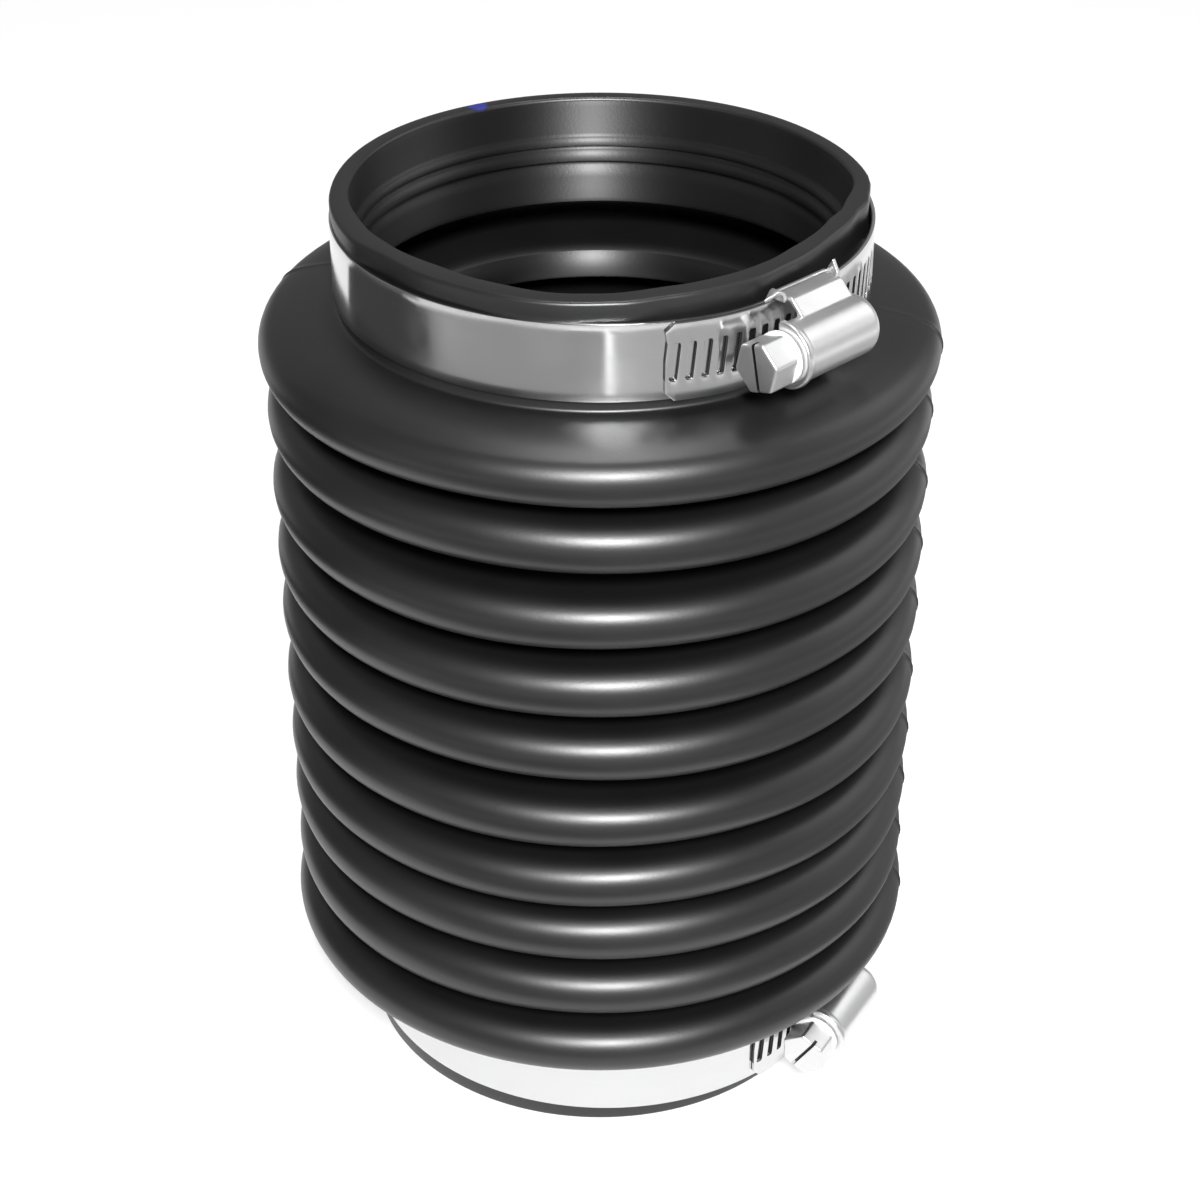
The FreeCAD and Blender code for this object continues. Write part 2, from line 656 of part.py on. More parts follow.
def housing_body(clamp):
    """A pressing: a barrel over the screw, and walls that slope out over the band's edges."""
    body = doc.addObject("PartDesign::Body", clamp.side + "HousingPressing")
    flange = outline_sketch(body, clamp.side + "FlangeProfile",
                            [("0", BARREL), (SLOPE_RUN, FLANGE_SIDE), (SADDLE_TOP, FLANGE_SIDE)])
    flange_pad = extrude(body, "Pad", flange, clamp.side + "Flange", "-flange_length / 2", "flange_length")

    crest_depth = value(SLOPE_RUN)
    crest_side = value(FLANGE_SIDE)

    def flange_crest(edge):
        centre = edge.CenterOfMass
        return abs(centre.y - crest_depth) < MATCH and abs(abs(centre.z) - crest_side) < MATCH

    round_edges(body, clamp.side + "FlangeRounding", flange_pad, flange_crest, "flange_rounding")
    barrel = arch_sketch(body, clamp.side + "BarrelProfile", BARREL, "barrel_skirt")
    extrude(body, "Pad", barrel, clamp.side + "Barrel", "-barrel_front", "barrel_front + barrel_back")
    lip = arch_sketch(body, clamp.side + "LipProfile", BARREL + " + lip_rise", "barrel_skirt")
    lip_pad = extrude(body, "Pad", lip, clamp.side + "Lip", "-barrel_front", "lip_length")

    back = size("barrel_back")
    lip_end = -size("barrel_front") + size("lip_length")
    lip_radius = value(BARREL + " + lip_rise")

    def valley(edge):
        centre = edge.CenterOfMass
        return max(abs(centre.x), abs(centre.y), abs(abs(centre.z) - value(BARREL))) < MATCH

    def back_rim(edge):
        at_back = all(abs(vertex.X - back) < MATCH for vertex in edge.Vertexes)
        return at_back and edge.CenterOfMass.y < size("barrel_skirt") - MATCH

    def lip_rim(edge):
        ends = (-size("barrel_front"), lip_end)
        at_lip = any(abs(edge.CenterOfMass.x - level) < MATCH for level in ends)
        on_lip = isinstance(edge.Curve, Part.Circle) and abs(edge.Curve.Radius - lip_radius) < MATCH
        beside = abs(abs(edge.CenterOfMass.z) - lip_radius) < MATCH
        return at_lip and (on_lip or beside)

    rounded = round_edges(body, clamp.side + "ValleyRounding", lip_pad, valley, "valley_rounding")
    rounded = round_edges(body, clamp.side + "EndRounding", rounded, back_rim, "barrel_end_rounding")
    round_edges(body, clamp.side + "LipRounding", rounded, lip_rim, "lip_rounding")

    bore = arch_sketch(body, clamp.side + "BoreProfile", BORE, SADDLE_TOP + " + housing_wall")
    extrude(body, "Pocket", bore, clamp.side + "Bore", "-barrel_front + front_wall",
            "barrel_front - front_wall + barrel_back - barrel_end_wall")
    throat = arch_sketch(body, clamp.side + "ThroatProfile", "neck_diameter / 2 + neck_clearance",
                         SADDLE_TOP + " + housing_wall")
    extrude(body, "Pocket", throat, clamp.side + "Throat", "-barrel_front", "front_wall + housing_wall")
    channel = outline_sketch(body, clamp.side + "ChannelProfile",
                             [(CHANNEL_TOP, CHANNEL_SIDE), (SADDLE_TOP + " + housing_wall", CHANNEL_SIDE)])
    extrude(body, "Pocket", channel, clamp.side + "Channel", "-barrel_front - housing_wall",
            "barrel_front + barrel_back + 2 * housing_wall")
    hollow = outline_sketch(body, clamp.side + "SlopeProfile",
                            [("slope_wall - housing_wall", BORE),
                             (SLOPE_RUN + " - flange_wall + slope_wall", CHANNEL_SIDE),
                             (SADDLE_TOP + " + housing_wall", CHANNEL_SIDE)])
    channel_cut = extrude(body, "Pocket", hollow, clamp.side + "SlopeHollow", "-flange_length / 2",
                          "flange_length")
    body.Tip = channel_cut
    doc.recompute()
    return body


def worm_thread():
    """One right-hand thread of trapezoid section, swept along a helix about Z."""
    root = size("worm_root_diameter") / 2
    step = size("slot_pitch")
    land = size("worm_crest_land") / 2
    run = size("worm_flank_run")
    sink = size("worm_sink")
    sunk_half = land + run * (worm_crest - root + sink) / (worm_crest - root)
    height = size("worm_length") - 2 * sunk_half
    helix = Part.makeHelix(step, height, worm_crest)
    points = [FreeCAD.Vector(worm_crest, 0, -land),
              FreeCAD.Vector(worm_crest, 0, land),
              FreeCAD.Vector(root - sink, 0, sunk_half),
              FreeCAD.Vector(root - sink, 0, -sunk_half)]
    section = Part.makePolygon(points + points[:1])
    thread = Part.Wire(helix.Edges).makePipeShell([section], True, True)
    thread.translate(FreeCAD.Vector(0, 0, sunk_half))
    return thread


def screw_shape():
    """Hex head with driver slot, collar, neck, worm and pilot, turned about Z and laid along X."""
    worm_at = -size("worm_start")
    collar_back = -size("barrel_front") - size("collar_gap")
    collar_front = collar_back - size("collar_thickness")
    head_front = collar_front - size("head_length")

    def turned(diameter, first, last):
        return Part.makeCylinder(diameter / 2, last - first, FreeCAD.Vector(0, 0, first))

    flats = size("hex_across_flats") / 2
    corners = [FreeCAD.Vector(flats / math.cos(math.pi / 6) * math.cos(math.radians(60 * number)),
                              flats / math.cos(math.pi / 6) * math.sin(math.radians(60 * number)),
                              head_front) for number in range(6)]
    prism = Part.Face(Part.makePolygon(corners + corners[:1]))
    prism = prism.extrude(FreeCAD.Vector(0, 0, size("head_length")))
    bevel = size("hex_face_bevel")
    corner = size("hex_corner_diameter") / 2
    blank = Part.makeCone(corner - 2 * bevel, corner, bevel, FreeCAD.Vector(0, 0, head_front))
    blank = blank.fuse(turned(2 * corner, head_front + bevel, collar_front))
    head = prism.common(blank)
    slot_half = size("driver_slot_width") / 2
    slot = Part.makeBox(2 * worm_crest + 2 * corner, 2 * slot_half, size("driver_slot_depth"),
                        FreeCAD.Vector(-worm_crest - corner, -slot_half, head_front))
    slot.rotate(FreeCAD.Vector(0, 0, 0), FreeCAD.Vector(0, 0, 1), size("slot_turn"))
    head = head.cut(slot)

    worm_end = worm_at + size("worm_length")
    pieces = [turned(size("collar_diameter"), collar_front, collar_back),
              turned(size("neck_diameter"), collar_back, worm_at),
              turned(size("worm_root_diameter"), worm_at, worm_end),
              turned(size("pilot_diameter"), worm_end, worm_end + size("pilot_length"))]
    thread = worm_thread()
    thread.translate(FreeCAD.Vector(0, 0, worm_at))
    screw = head.fuse(pieces + [thread])
    screw.rotate(FreeCAD.Vector(0, 0, 0), FreeCAD.Vector(0, 1, 0), 90)
    return screw


SADDLE_HALF = "flange_length / 2 + tab_gap + saddle_thickness"


def saddle_shape(clamp):
    """A flat plate under the band, with a pointed tab folded up at each end on the rim's side."""
    top = value(SADDLE_TOP)
    thick = size("saddle_thickness")
    half_long = value(SADDLE_HALF)
    side = value(FLANGE_SIDE)
    saddle = Part.makeBox(2 * half_long, thick, 2 * side, FreeCAD.Vector(-half_long, top, -side))
    inner = value(CHANNEL_SIDE)
    reach = size("tab_reach")
    points = [(top + thick, inner), (top + thick, side), (top, side),
              (top - reach / 2, side + size("tab_rise")), (top - reach, side), (top - reach, inner)]
    for start in (-half_long, half_long - thick):
        corners = [FreeCAD.Vector(start, depth, clamp.rim_side * up) for depth, up in points]
        tab = Part.Face(Part.makePolygon(corners + corners[:1]))
        saddle = saddle.fuse(tab.extrude(FreeCAD.Vector(thick, 0, 0)))
    return saddle


def add_feature(name, label, shape, placement):
    """A shape keeps the turn that it was made with inside the placement of its clamp."""
    feature = doc.addObject("Part::Feature", name)
    feature.Label = label
    feature.Shape = shape
    feature.Placement = placement.multiply(shape.Placement)
    return feature


nodes = []
seats = []
for side in ("upper", "lower"):
    clamp = Clamp(side)
    at_band = clamp.placement(0)
    at_screw = clamp.placement(clamp.axis)
    nodes.append(add_feature(side + "Band", side + "_band", band_shape(clamp), at_band))
    nodes.append(add_feature(side + "Saddle", side + "_saddle", saddle_shape(clamp), at_screw))
    nodes.append(add_feature(side + "Screw", side + "_screw", screw_shape(), at_screw))
    housing = housing_body(clamp)
    housing.Label = side + "_housing"
    housing.Placement = at_screw
    nodes.append(housing)

    # The tightened clamp presses a flat seat into the cuff under its saddle.
    gap = size("seat_clearance")
    seat_half_long = value(SADDLE_HALF) + gap
    seat_half_wide = value(FLANGE_SIDE) + gap
    seat_floor = value(SADDLE_TOP) + size("saddle_thickness") + gap
    seat = doc.addObject("Part::Box", side + "Seat")
    seat.Length = 2 * seat_half_long
    seat.Width = seat_floor
    seat.Height = 2 * seat_half_wide
    corner = FreeCAD.Placement(FreeCAD.Vector(-seat_half_long, 0, -seat_half_wide), FreeCAD.Rotation())
    seat.Placement = at_screw.multiply(corner)
    seats.append(seat)

both_seats = doc.addObject("Part::MultiFuse", "ClampSeats")
both_seats.Shapes = seats
boot = doc.addObject("Part::Cut", "Boot")
boot.Base = boot_body
boot.Tool = both_seats
boot.Label = "bellows_boot"
nodes.insert(0, boot)
doc.recompute()

for item in doc.Objects:
    if "Invalid" in item.State or "Error" in item.State:
        raise RuntimeError("failed: " + item.Name)
os.makedirs("parts", exist_ok=True)
for node in nodes:
    shape = node.Shape
    if shape.isNull() or not shape.isValid() or len(shape.Solids) != 1:
        raise RuntimeError("not one valid solid: " + node.Label)
    shape.exportStep(os.path.join("parts", node.Label + ".step"))
    print(node.Label, round(shape.Volume, 2), len(shape.Faces))
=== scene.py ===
import math

import bpy
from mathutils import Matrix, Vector, noise


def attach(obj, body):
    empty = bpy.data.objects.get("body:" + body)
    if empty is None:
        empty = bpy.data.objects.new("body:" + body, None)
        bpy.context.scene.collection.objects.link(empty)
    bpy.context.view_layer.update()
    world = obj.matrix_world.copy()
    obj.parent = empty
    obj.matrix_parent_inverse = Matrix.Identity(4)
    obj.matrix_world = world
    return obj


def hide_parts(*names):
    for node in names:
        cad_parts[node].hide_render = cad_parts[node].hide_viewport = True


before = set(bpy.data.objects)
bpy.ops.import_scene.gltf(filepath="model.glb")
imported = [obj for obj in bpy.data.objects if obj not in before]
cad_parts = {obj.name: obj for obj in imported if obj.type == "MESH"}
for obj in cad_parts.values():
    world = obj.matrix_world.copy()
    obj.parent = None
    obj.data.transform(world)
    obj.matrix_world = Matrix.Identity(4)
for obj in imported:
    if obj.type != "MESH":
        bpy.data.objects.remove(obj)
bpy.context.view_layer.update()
bpy.ops.object.select_all(action="DESELECT")

# The bellows boot is one moulding of black rubber: ten hollow rolls, a sloping shoulder at each
# end and two plain cuffs with a pair of sealing beads inside. It stands on its lower rim. The
# lengths below are millimetres in the boot's section: reach is out from its axis, level is up.
MM = 0.001
BOOT_HEIGHT = 160.0
CUFF_REACH = 43.0
CUFF_BORE = 40.0
CUFF_LENGTH = 17.9
RIM_EDGE = 0.6
MOUTH_RINGS = (6.4, 5.2, 4.0, 2.8, 1.6)
BEADS = ((10.35, 1.15, 0.95), (7.85, 0.85, 0.75))
BEAD_GROOVE = 0.45
BEAD_GROOVE_RINGS = (12.5, 11.9)
NECK_RINGS = (18.3, 16.5, 14.5, 12.9)
NECK_DEPTH = 19.1
ROLL_PITCH = 12.2
ROLL_BEND = 4.4
ROLL_REACH = 50.85
END_ROLL_REACH = 51.6
ROOT_REACH = 39.5
RUBBER_WALL = 2.0
HOLLOW_BEND = ROLL_BEND - RUBBER_WALL
SHOULDER_SWELL = 0.22
CREST_STEPS = 8
TOP_ROLL_LEVEL = 134.9
ROLL_DROPS = (-0.6, -1.1, 0.2, 0.3, 0.2, 1.4, 1.5, 0.3, -0.2, -0.3)
SPIN_STEPS = 144


def bend(reach, level, radius, first, last, steps):
    """Section points along an arc, from one angle to another, in degrees up from straight out."""
    points = []
    for step in range(steps + 1):
        angle = math.radians(first + (last - first) * step / steps)
        points.append((reach + radius * math.cos(angle), level + radius * math.sin(angle)))
    return points


def run(first, last, steps):
    """Section points along a straight line, without its two ends."""
    points = []
    for step in range(1, steps):
        part = step / steps
        points.append((first[0] + (last[0] - first[0]) * part, first[1] + (last[1] - first[1]) * part))
    return points


def swollen(first, last, steps):
    """Section points from one place to another that stand a little proud of the straight line."""
    long, fall = last[0] - first[0], first[1] - last[1]
    points = []
    for step, (reach, level) in enumerate(run(first, last, steps), 1):
        rise = 4 * SHOULDER_SWELL * step * (steps - step) / steps ** 2 / math.hypot(long, fall)
        points.append((reach + rise * fall, level + rise * long))
    return points


def cuff_outside():
    """From the rim's outer edge down the cuff and the shoulder to the outermost roll."""
    base = (CUFF_REACH, BOOT_HEIGHT - CUFF_LENGTH)
    toward = math.atan2(TOP_ROLL_LEVEL - base[1], END_ROLL_REACH - base[0])
    reach = math.hypot(TOP_ROLL_LEVEL - base[1], END_ROLL_REACH - base[0])
    touch = math.degrees(toward + math.asin(ROLL_BEND / reach)) + 90
    edge = bend(CUFF_REACH - RIM_EDGE, BOOT_HEIGHT - RIM_EDGE, RIM_EDGE, 90, 0, 3)
    crest = bend(END_ROLL_REACH, TOP_ROLL_LEVEL, ROLL_BEND, touch, 0, CREST_STEPS)
    foot = [(base[0], base[1] + 0.5), (base[0] + 0.12, base[1] + 0.1), (base[0] + 0.5, base[1] - 0.1)]
    return edge + run(edge[-1], foot[0], 12) + foot + swollen(foot[-1], crest[0], 8) + crest


def cuff_inside():
    """From the outermost roll's hollow up the neck, over the two beads to the rim's inner edge."""
    crest_start = cuff_outside()[-CREST_STEPS - 1]
    touch = math.degrees(math.atan2(crest_start[1] - TOP_ROLL_LEVEL, crest_start[0] - END_ROLL_REACH))
    crest = bend(END_ROLL_REACH, TOP_ROLL_LEVEL, HOLLOW_BEND, 0, touch, 6)
    neck = BOOT_HEIGHT - NECK_DEPTH
    turn = [(CUFF_BORE + 0.6, neck - 0.25), (CUFF_BORE + 0.1, neck + 0.15)]
    points = crest + run(crest[-1], turn[0], 6) + turn
    points += [(CUFF_BORE, BOOT_HEIGHT - depth) for depth in NECK_RINGS]
    points += [(CUFF_BORE + BEAD_GROOVE, BOOT_HEIGHT - depth) for depth in BEAD_GROOVE_RINGS]
    for depth, half, rise in BEADS:
        for turned in range(0, 181, 20):
            angle = math.radians(turned)
            points.append((CUFF_BORE - rise * math.sin(angle),
                           BOOT_HEIGHT - depth - half * math.cos(angle)))
    points += [(CUFF_BORE, BOOT_HEIGHT - depth) for depth in MOUTH_RINGS]
    return points + bend(CUFF_BORE + RIM_EDGE, BOOT_HEIGHT - RIM_EDGE, RIM_EDGE, 180, 90, 3)


def with_end_roll(points, shift):
    """Moves a cuff's end roll up or down, and its shoulder with it less and less towards the cuff."""
    moved = []
    for reach, level in points:
        share = min(1, max(0, (reach - CUFF_REACH) / (END_ROLL_REACH - CUFF_REACH)))
        moved.append((reach, level + shift * share))
    return moved


def upside_down(points):
    """The lower cuff's points from the upper one's, in the order that the outline meets them."""
    return [(reach, BOOT_HEIGHT - level) for reach, level in reversed(points)]


def boot_section():
    """The whole closed outline: down the outside, then up the inside."""
    levels = [TOP_ROLL_LEVEL - number * ROLL_PITCH - drop for number, drop in enumerate(ROLL_DROPS)]
    reaches = [END_ROLL_REACH] + [ROLL_REACH] * (len(levels) - 2) + [END_ROLL_REACH]
    top_shift = levels[0] - TOP_ROLL_LEVEL
    bottom_shift = BOOT_HEIGHT - TOP_ROLL_LEVEL - levels[-1]
    outside = with_end_roll(cuff_outside(), top_shift)
    inside = []
    for number in range(len(levels) - 1):
        upper, lower = levels[number], levels[number + 1]
        if number == 0:
            inside += bend(reaches[number], upper, HOLLOW_BEND, 0, -90, 4)[1:]
        else:
            outside += bend(reaches[number], upper, ROLL_BEND, 90, 0, 7)
            inside += bend(reaches[number], upper, HOLLOW_BEND, 90, -90, 8)
        outside += bend(reaches[number], upper, ROLL_BEND, 0, -90, 7)[1:]
        gap = (upper - lower) / 2 - ROLL_BEND
        root = ROOT_REACH + gap
        middle = (upper + lower) / 2
        outside += run((reaches[number], upper - ROLL_BEND), (root, upper - ROLL_BEND), 2)
        outside += bend(root, middle, gap, 90, 270, 8)
        outside += run((root, lower + ROLL_BEND), (reaches[number + 1], lower + ROLL_BEND), 2)
        inside += bend(root, middle, gap + RUBBER_WALL, 90, 270, 8)
    outside += bend(reaches[-1], levels[-1], ROLL_BEND, 90, 0, 7)
    inside += bend(reaches[-1], levels[-1], HOLLOW_BEND, 90, 0, 4)
    outside += upside_down(with_end_roll(cuff_outside(), bottom_shift))[1:]
    upper_lining = with_end_roll(cuff_inside(), top_shift)
    lower_lining = upside_down(with_end_roll(cuff_inside(), bottom_shift))
    return outside + lower_lining[:-1] + inside[::-1] + upper_lining


section = boot_section()
section.append(section[0])
bpy.ops.mesh.primitive_plane_add(size=MM, location=(section[0][0] * MM, 0, section[0][1] * MM))
boot = bpy.context.object
boot.name = "BellowsBoot"
bpy.ops.object.transform_apply(location=True)
bpy.ops.object.mode_set(mode="EDIT")
bpy.ops.mesh.merge(type="CENTER")
for before, after in zip(section, section[1:]):
    step = ((after[0] - before[0]) * MM, 0, (after[1] - before[1]) * MM)
    bpy.ops.mesh.extrude_region_move(TRANSFORM_OT_translate={"value": step})
bpy.ops.mesh.select_all(action="SELECT")
bpy.ops.mesh.spin(steps=SPIN_STEPS, angle=2 * math.pi, center=(0, 0, 0), axis=(0, 0, 1))
bpy.ops.mesh.select_all(action="SELECT")
bpy.ops.mesh.remove_doubles(threshold=0.002 * MM)
bpy.ops.mesh.normals_make_consistent(inside=False)
bpy.ops.object.mode_set(mode="OBJECT")
bpy.ops.object.shade_smooth()

# The tightened clamp has pulled the upper cuff out of round. Each entry is a direction round the
# boot, in degrees from the front towards the right, and how far the rim stands out there.
RIM_OUTSIDE = ((-180, 0.2), (-120, 0.5), (-91, 0.2), (-63, 0.1), (-50, -1.0), (-35, -0.4),
               (-10, 0.5), (4, 0.0), (15, -1.0), (33, -1.4), (45, -2.3), (61, -2.7), (76, -1.7),
               (85, -0.2), (97, 0.8), (130, 0.6), (180, 0.2))
RIM_INSIDE = ((-180, 0.2), (-120, 0.5), (-91, 0.1), (-67, -0.9), (-55, -1.4), (-39, -1.9), (-26, -1.3),
              (-9, -0.3), (0, -0.6), (16, -1.9), (32, -2.3), (41, -2.6), (52, -3.1), (70, -2.6), (80, -1.2),
              (97, 1.0), (130, 0.6), (180, 0.2))
PULL_FROM, PULL_TO = 149, 157
UPPER_CLAMP_AZIMUTH = 44.5
UPPER_CLAMP_SHIFT = 0.45
SEAT_REACH = 41.95
SEAT_SPREAD = 50
CUFF_UNDER_BAND = 43.2
CUFF_BASE = 142.4
BAND_TOP = 157
OUTSIDE_REACH = 41.5


def ease(value, first, last):
    """0 before first, 1 after last, and a soft step between them."""
    part = min(1, max(0, (value - first) / (last - first)))
    return part * part * (3 - 2 * part)


def around(table, azimuth):
    """The value that a table round the boot gives for one direction."""
    for (before, low), (after, high) in zip(table, table[1:]):
        if azimuth <= after:
            return low + (high - low) * ease(azimuth, before, after)
    return table[-1][1]


PARTING_LINES = (82.5, -105.0)
PARTING_STEPS = (0.0, 0.2, 1.9, 4.6, 7.6, 10.9)
PARTING_RIDGE = 0.22
PARTING_FROM, PARTING_TO = 18, 142
WAVE_HEIGHT = 0.45
WAVES_ROUND = 1.3
WAVE_PITCH = 21
WAVY_FROM, WAVY_TO = 20, 140
WAVE_FADE = 10
ROLLS_OUTSIDE = 42


def parting(azimuth):
    """Draws the spin's nearest steps in to a parting line: the azimuth, and whether it is on one."""
    spacing = 360 / SPIN_STEPS
    for line in PARTING_LINES:
        away = azimuth - line
        steps = round(away / spacing)
        if abs(steps) < len(PARTING_STEPS):
            return line + math.copysign(PARTING_STEPS[abs(steps)], away), steps == 0
    return azimuth, False


for vertex in boot.data.vertices:
    x, y, z = vertex.co / MM
    reach = math.hypot(x, y)
    azimuth, on_line = parting(math.degrees(math.atan2(x, -y)))
    if on_line and reach > ROLLS_OUTSIDE + 0.5 and PARTING_FROM < z < PARTING_TO:
        reach += PARTING_RIDGE
    wander = Vector((WAVES_ROUND * x / reach, WAVES_ROUND * y / reach, z / WAVE_PITCH))
    if WAVY_FROM < z < WAVY_TO and reach > ROLLS_OUTSIDE:
        fade = ease(z, WAVY_FROM, WAVY_FROM + WAVE_FADE) * ease(-z, -WAVY_TO, WAVE_FADE - WAVY_TO)
        z += WAVE_HEIGHT * noise.noise(wander) * fade
    if z > WAVY_TO:
        table = RIM_OUTSIDE if reach > OUTSIDE_REACH else RIM_INSIDE
        reach += around(table, azimuth) * ease(z, PULL_FROM, PULL_TO)
        from_clamp = math.radians(azimuth - UPPER_CLAMP_AZIMUTH)
        seat = SEAT_REACH / math.cos(min(math.radians(SEAT_SPREAD), abs(from_clamp)))
        under_band = CUFF_UNDER_BAND + UPPER_CLAMP_SHIFT * math.cos(from_clamp)
        if z > CUFF_BASE and reach > OUTSIDE_REACH:
            reach = min(reach, seat, under_band if z < BAND_TOP else seat)
    turn = math.radians(azimuth)
    vertex.co = Vector((reach * math.sin(turn), -reach * math.cos(turn), z)) * MM


def grain_group():
    """Fine moulded grain: a height and a mask of slightly smoother and duller patches."""
    group = bpy.data.node_groups.new("MouldedGrain", "ShaderNodeTree")
    for name, default in (("Grain Scale", 2200.0), ("Patch Scale", 60.0)):
        socket = group.interface.new_socket(name=name, in_out="INPUT", socket_type="NodeSocketFloat")
        socket.default_value = default
    group.interface.new_socket(name="Height", in_out="OUTPUT", socket_type="NodeSocketFloat")
    group.interface.new_socket(name="Patches", in_out="OUTPUT", socket_type="NodeSocketFloat")
    nodes, links = group.nodes, group.links
    inputs = nodes.new("NodeGroupInput")
    outputs = nodes.new("NodeGroupOutput")
    place = nodes.new("ShaderNodeTexCoord")
    grain = nodes.new("ShaderNodeTexNoise")
    grain.inputs["Detail"].default_value = 3.0
    patches = nodes.new("ShaderNodeTexNoise")
    patches.inputs["Detail"].default_value = 4.0
    for texture, scale in ((grain, "Grain Scale"), (patches, "Patch Scale")):
        links.new(place.outputs["Object"], texture.inputs["Vector"])
        links.new(inputs.outputs[scale], texture.inputs["Scale"])
    links.new(grain.outputs["Fac"], outputs.inputs["Height"])
    links.new(patches.outputs["Fac"], outputs.inputs["Patches"])
    return group


def principled(name):
    """A new material and its Principled BSDF."""
    material = bpy.data.materials.new(name)
    material.use_nodes = True
    return material, material.node_tree.nodes["Principled BSDF"]


def spread(material, source, low, high, target):
    """Leads a noise mask, most of it between 0.3 and 0.7, into a socket as values from low to high."""
    tree = material.node_tree
    node = tree.nodes.new("ShaderNodeMapRange")
    node.inputs["From Min"].default_value = 0.3
    node.inputs["From Max"].default_value = 0.7
    node.inputs["To Min"].default_value = low
    node.inputs["To Max"].default_value = high
    tree.links.new(source, node.inputs["Value"])
    tree.links.new(node.outputs["Result"], target)


def turned_finish(material, amount):
    """Fine rings left by turning or rolling, which draw a highlight out up and down."""
    tree = material.node_tree
    shader = tree.nodes["Principled BSDF"]
    shader.inputs["Anisotropic"].default_value = amount
    shader.inputs["Anisotropic Rotation"].default_value = 0.25
    tangent = tree.nodes.new("ShaderNodeTangent")
    tangent.direction_type = "RADIAL"
    tangent.axis = "Z"
    tree.links.new(tangent.outputs["Tangent"], shader.inputs["Tangent"])


GRAIN = grain_group()
RUBBER_BLACK = (0.0035, 0.0035, 0.0037, 1)
RUBBER_DULL = (0.0055, 0.0055, 0.0058, 1)
INK_BLUE = (0.008, 0.014, 0.2, 1)
INK_SPOT = (-0.0213, 0.0366, 0.1598)
INK_REACH = 0.0019


def rubber_material(name, roughness, specular):
    """Black rubber with a fine moulded grain, and the blue ink dot on the rim."""
    material, shader = principled(name)
    tree = material.node_tree
    grain = tree.nodes.new("ShaderNodeGroup")
    grain.node_tree = GRAIN
    tint = tree.nodes.new("ShaderNodeMix")
    tint.data_type = "RGBA"
    tint.inputs["A"].default_value = RUBBER_BLACK
    tint.inputs["B"].default_value = RUBBER_DULL
    tree.links.new(grain.outputs["Patches"], tint.inputs["Factor"])
    place = tree.nodes.new("ShaderNodeTexCoord")
    away = tree.nodes.new("ShaderNodeVectorMath")
    away.operation = "DISTANCE"
    away.inputs[1].default_value = INK_SPOT
    tree.links.new(place.outputs["Object"], away.inputs[0])
    covered = tree.nodes.new("ShaderNodeMapRange")
    covered.inputs["From Min"].default_value = INK_REACH * 1.1
    covered.inputs["From Max"].default_value = INK_REACH * 0.8
    tree.links.new(away.outputs["Value"], covered.inputs["Value"])
    ink = tree.nodes.new("ShaderNodeMix")
    ink.data_type = "RGBA"
    ink.inputs["B"].default_value = INK_BLUE
    tree.links.new(covered.outputs["Result"], ink.inputs["Factor"])
    tree.links.new(tint.outputs["Result"], ink.inputs["A"])
    tree.links.new(ink.outputs["Result"], shader.inputs["Base Color"])
    spread(material, grain.outputs["Patches"], roughness - 0.02, roughness + 0.02,
           shader.inputs["Roughness"])
    shader.inputs["Specular IOR Level"].default_value = specular
    bump = tree.nodes.new("ShaderNodeBump")
    bump.inputs["Strength"].default_value = 0.12
    bump.inputs["Distance"].default_value = 0.0001
    tree.links.new(grain.outputs["Height"], bump.inputs["Height"])
    tree.links.new(bump.outputs["Normal"], shader.inputs["Normal"])
    return material


# The mould's core was turned, so the cuffs and the first fold shine up and down inside.
CUFF_LINING = (58, 79.4)
FOLD_LINING = (44, 52)
FOLD_LINING_REACH = 41
boot.data.materials.append(rubber_material("BlackRubber", 0.40, 0.75))
lining = rubber_material("BlackRubberLining", 0.5, 1.0)
turned_finish(lining, 0.9)
boot.data.materials.append(lining)
for face in boot.data.polygons:
    x, y, z = face.center / MM
    inward = face.normal.x * x + face.normal.y * y < 0
    from_middle = abs(z - BOOT_HEIGHT / 2)
    in_cuff = CUFF_LINING[0] < from_middle < CUFF_LINING[1]
    on_fold = FOLD_LINING[0] < from_middle < FOLD_LINING[1] and math.hypot(x, y) < FOLD_LINING_REACH
    if inward and (in_cuff or on_fold):
        face.material_index = 1
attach(boot, "boot")
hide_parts("bellows_boot")

# The clamp bands are strips of bright stainless steel, 12.7 mm wide. Each lies round its cuff, and
# its slotted tail runs over its own start, through the housing and out on the left of it.
STRIP = 0.65
STRIP_HALF = 6.35
STRIP_ROWS = (-STRIP_HALF, -4.65, -3.05, -2.7, 0, 2.7, 3.05, 4.65, STRIP_HALF)
STRIP_EDGE = 0.12
PLAIN_STEPS = 230
LAP = 0.75
FLAT_HALF = 6.2
FLAT_START = 5.4
FLAT_DROP = 1.3
CLAMPS = {
    "upper": {"azimuth": UPPER_CLAMP_AZIMUTH, "level": 150.55, "radius": 43.65,
              "shift": UPPER_CLAMP_SHIFT, "tail_run": 6.8},
    "lower": {"azimuth": 60.5, "level": 11.05, "radius": 44.6, "shift": 1.3, "tail_run": 0.9},
}
SLOT_PITCH = 2.5
SLOT_COUNT = 27
SLOT_LEAN = 0.102
SLOT_HALF = 0.6
SLOT_REACH = 3.05
SLOT_CORNER = (0.5, 2.95)
SLOT_STEPS = (SLOT_HALF, SLOT_HALF / 2, -SLOT_HALF / 2, -SLOT_HALF, -SLOT_PITCH / 2)
SLOT_ROWS = 3.1
SLOT_WALLS = 3.0
WALL_FACING = 0.35
INNER_FACING = -0.5
TAIL_EDGE = 0.5
TAIL_TO_SLOT = 1.5
CORNER_CUT = 1.4
COVERED = 16.8
CLOSE = 0.01


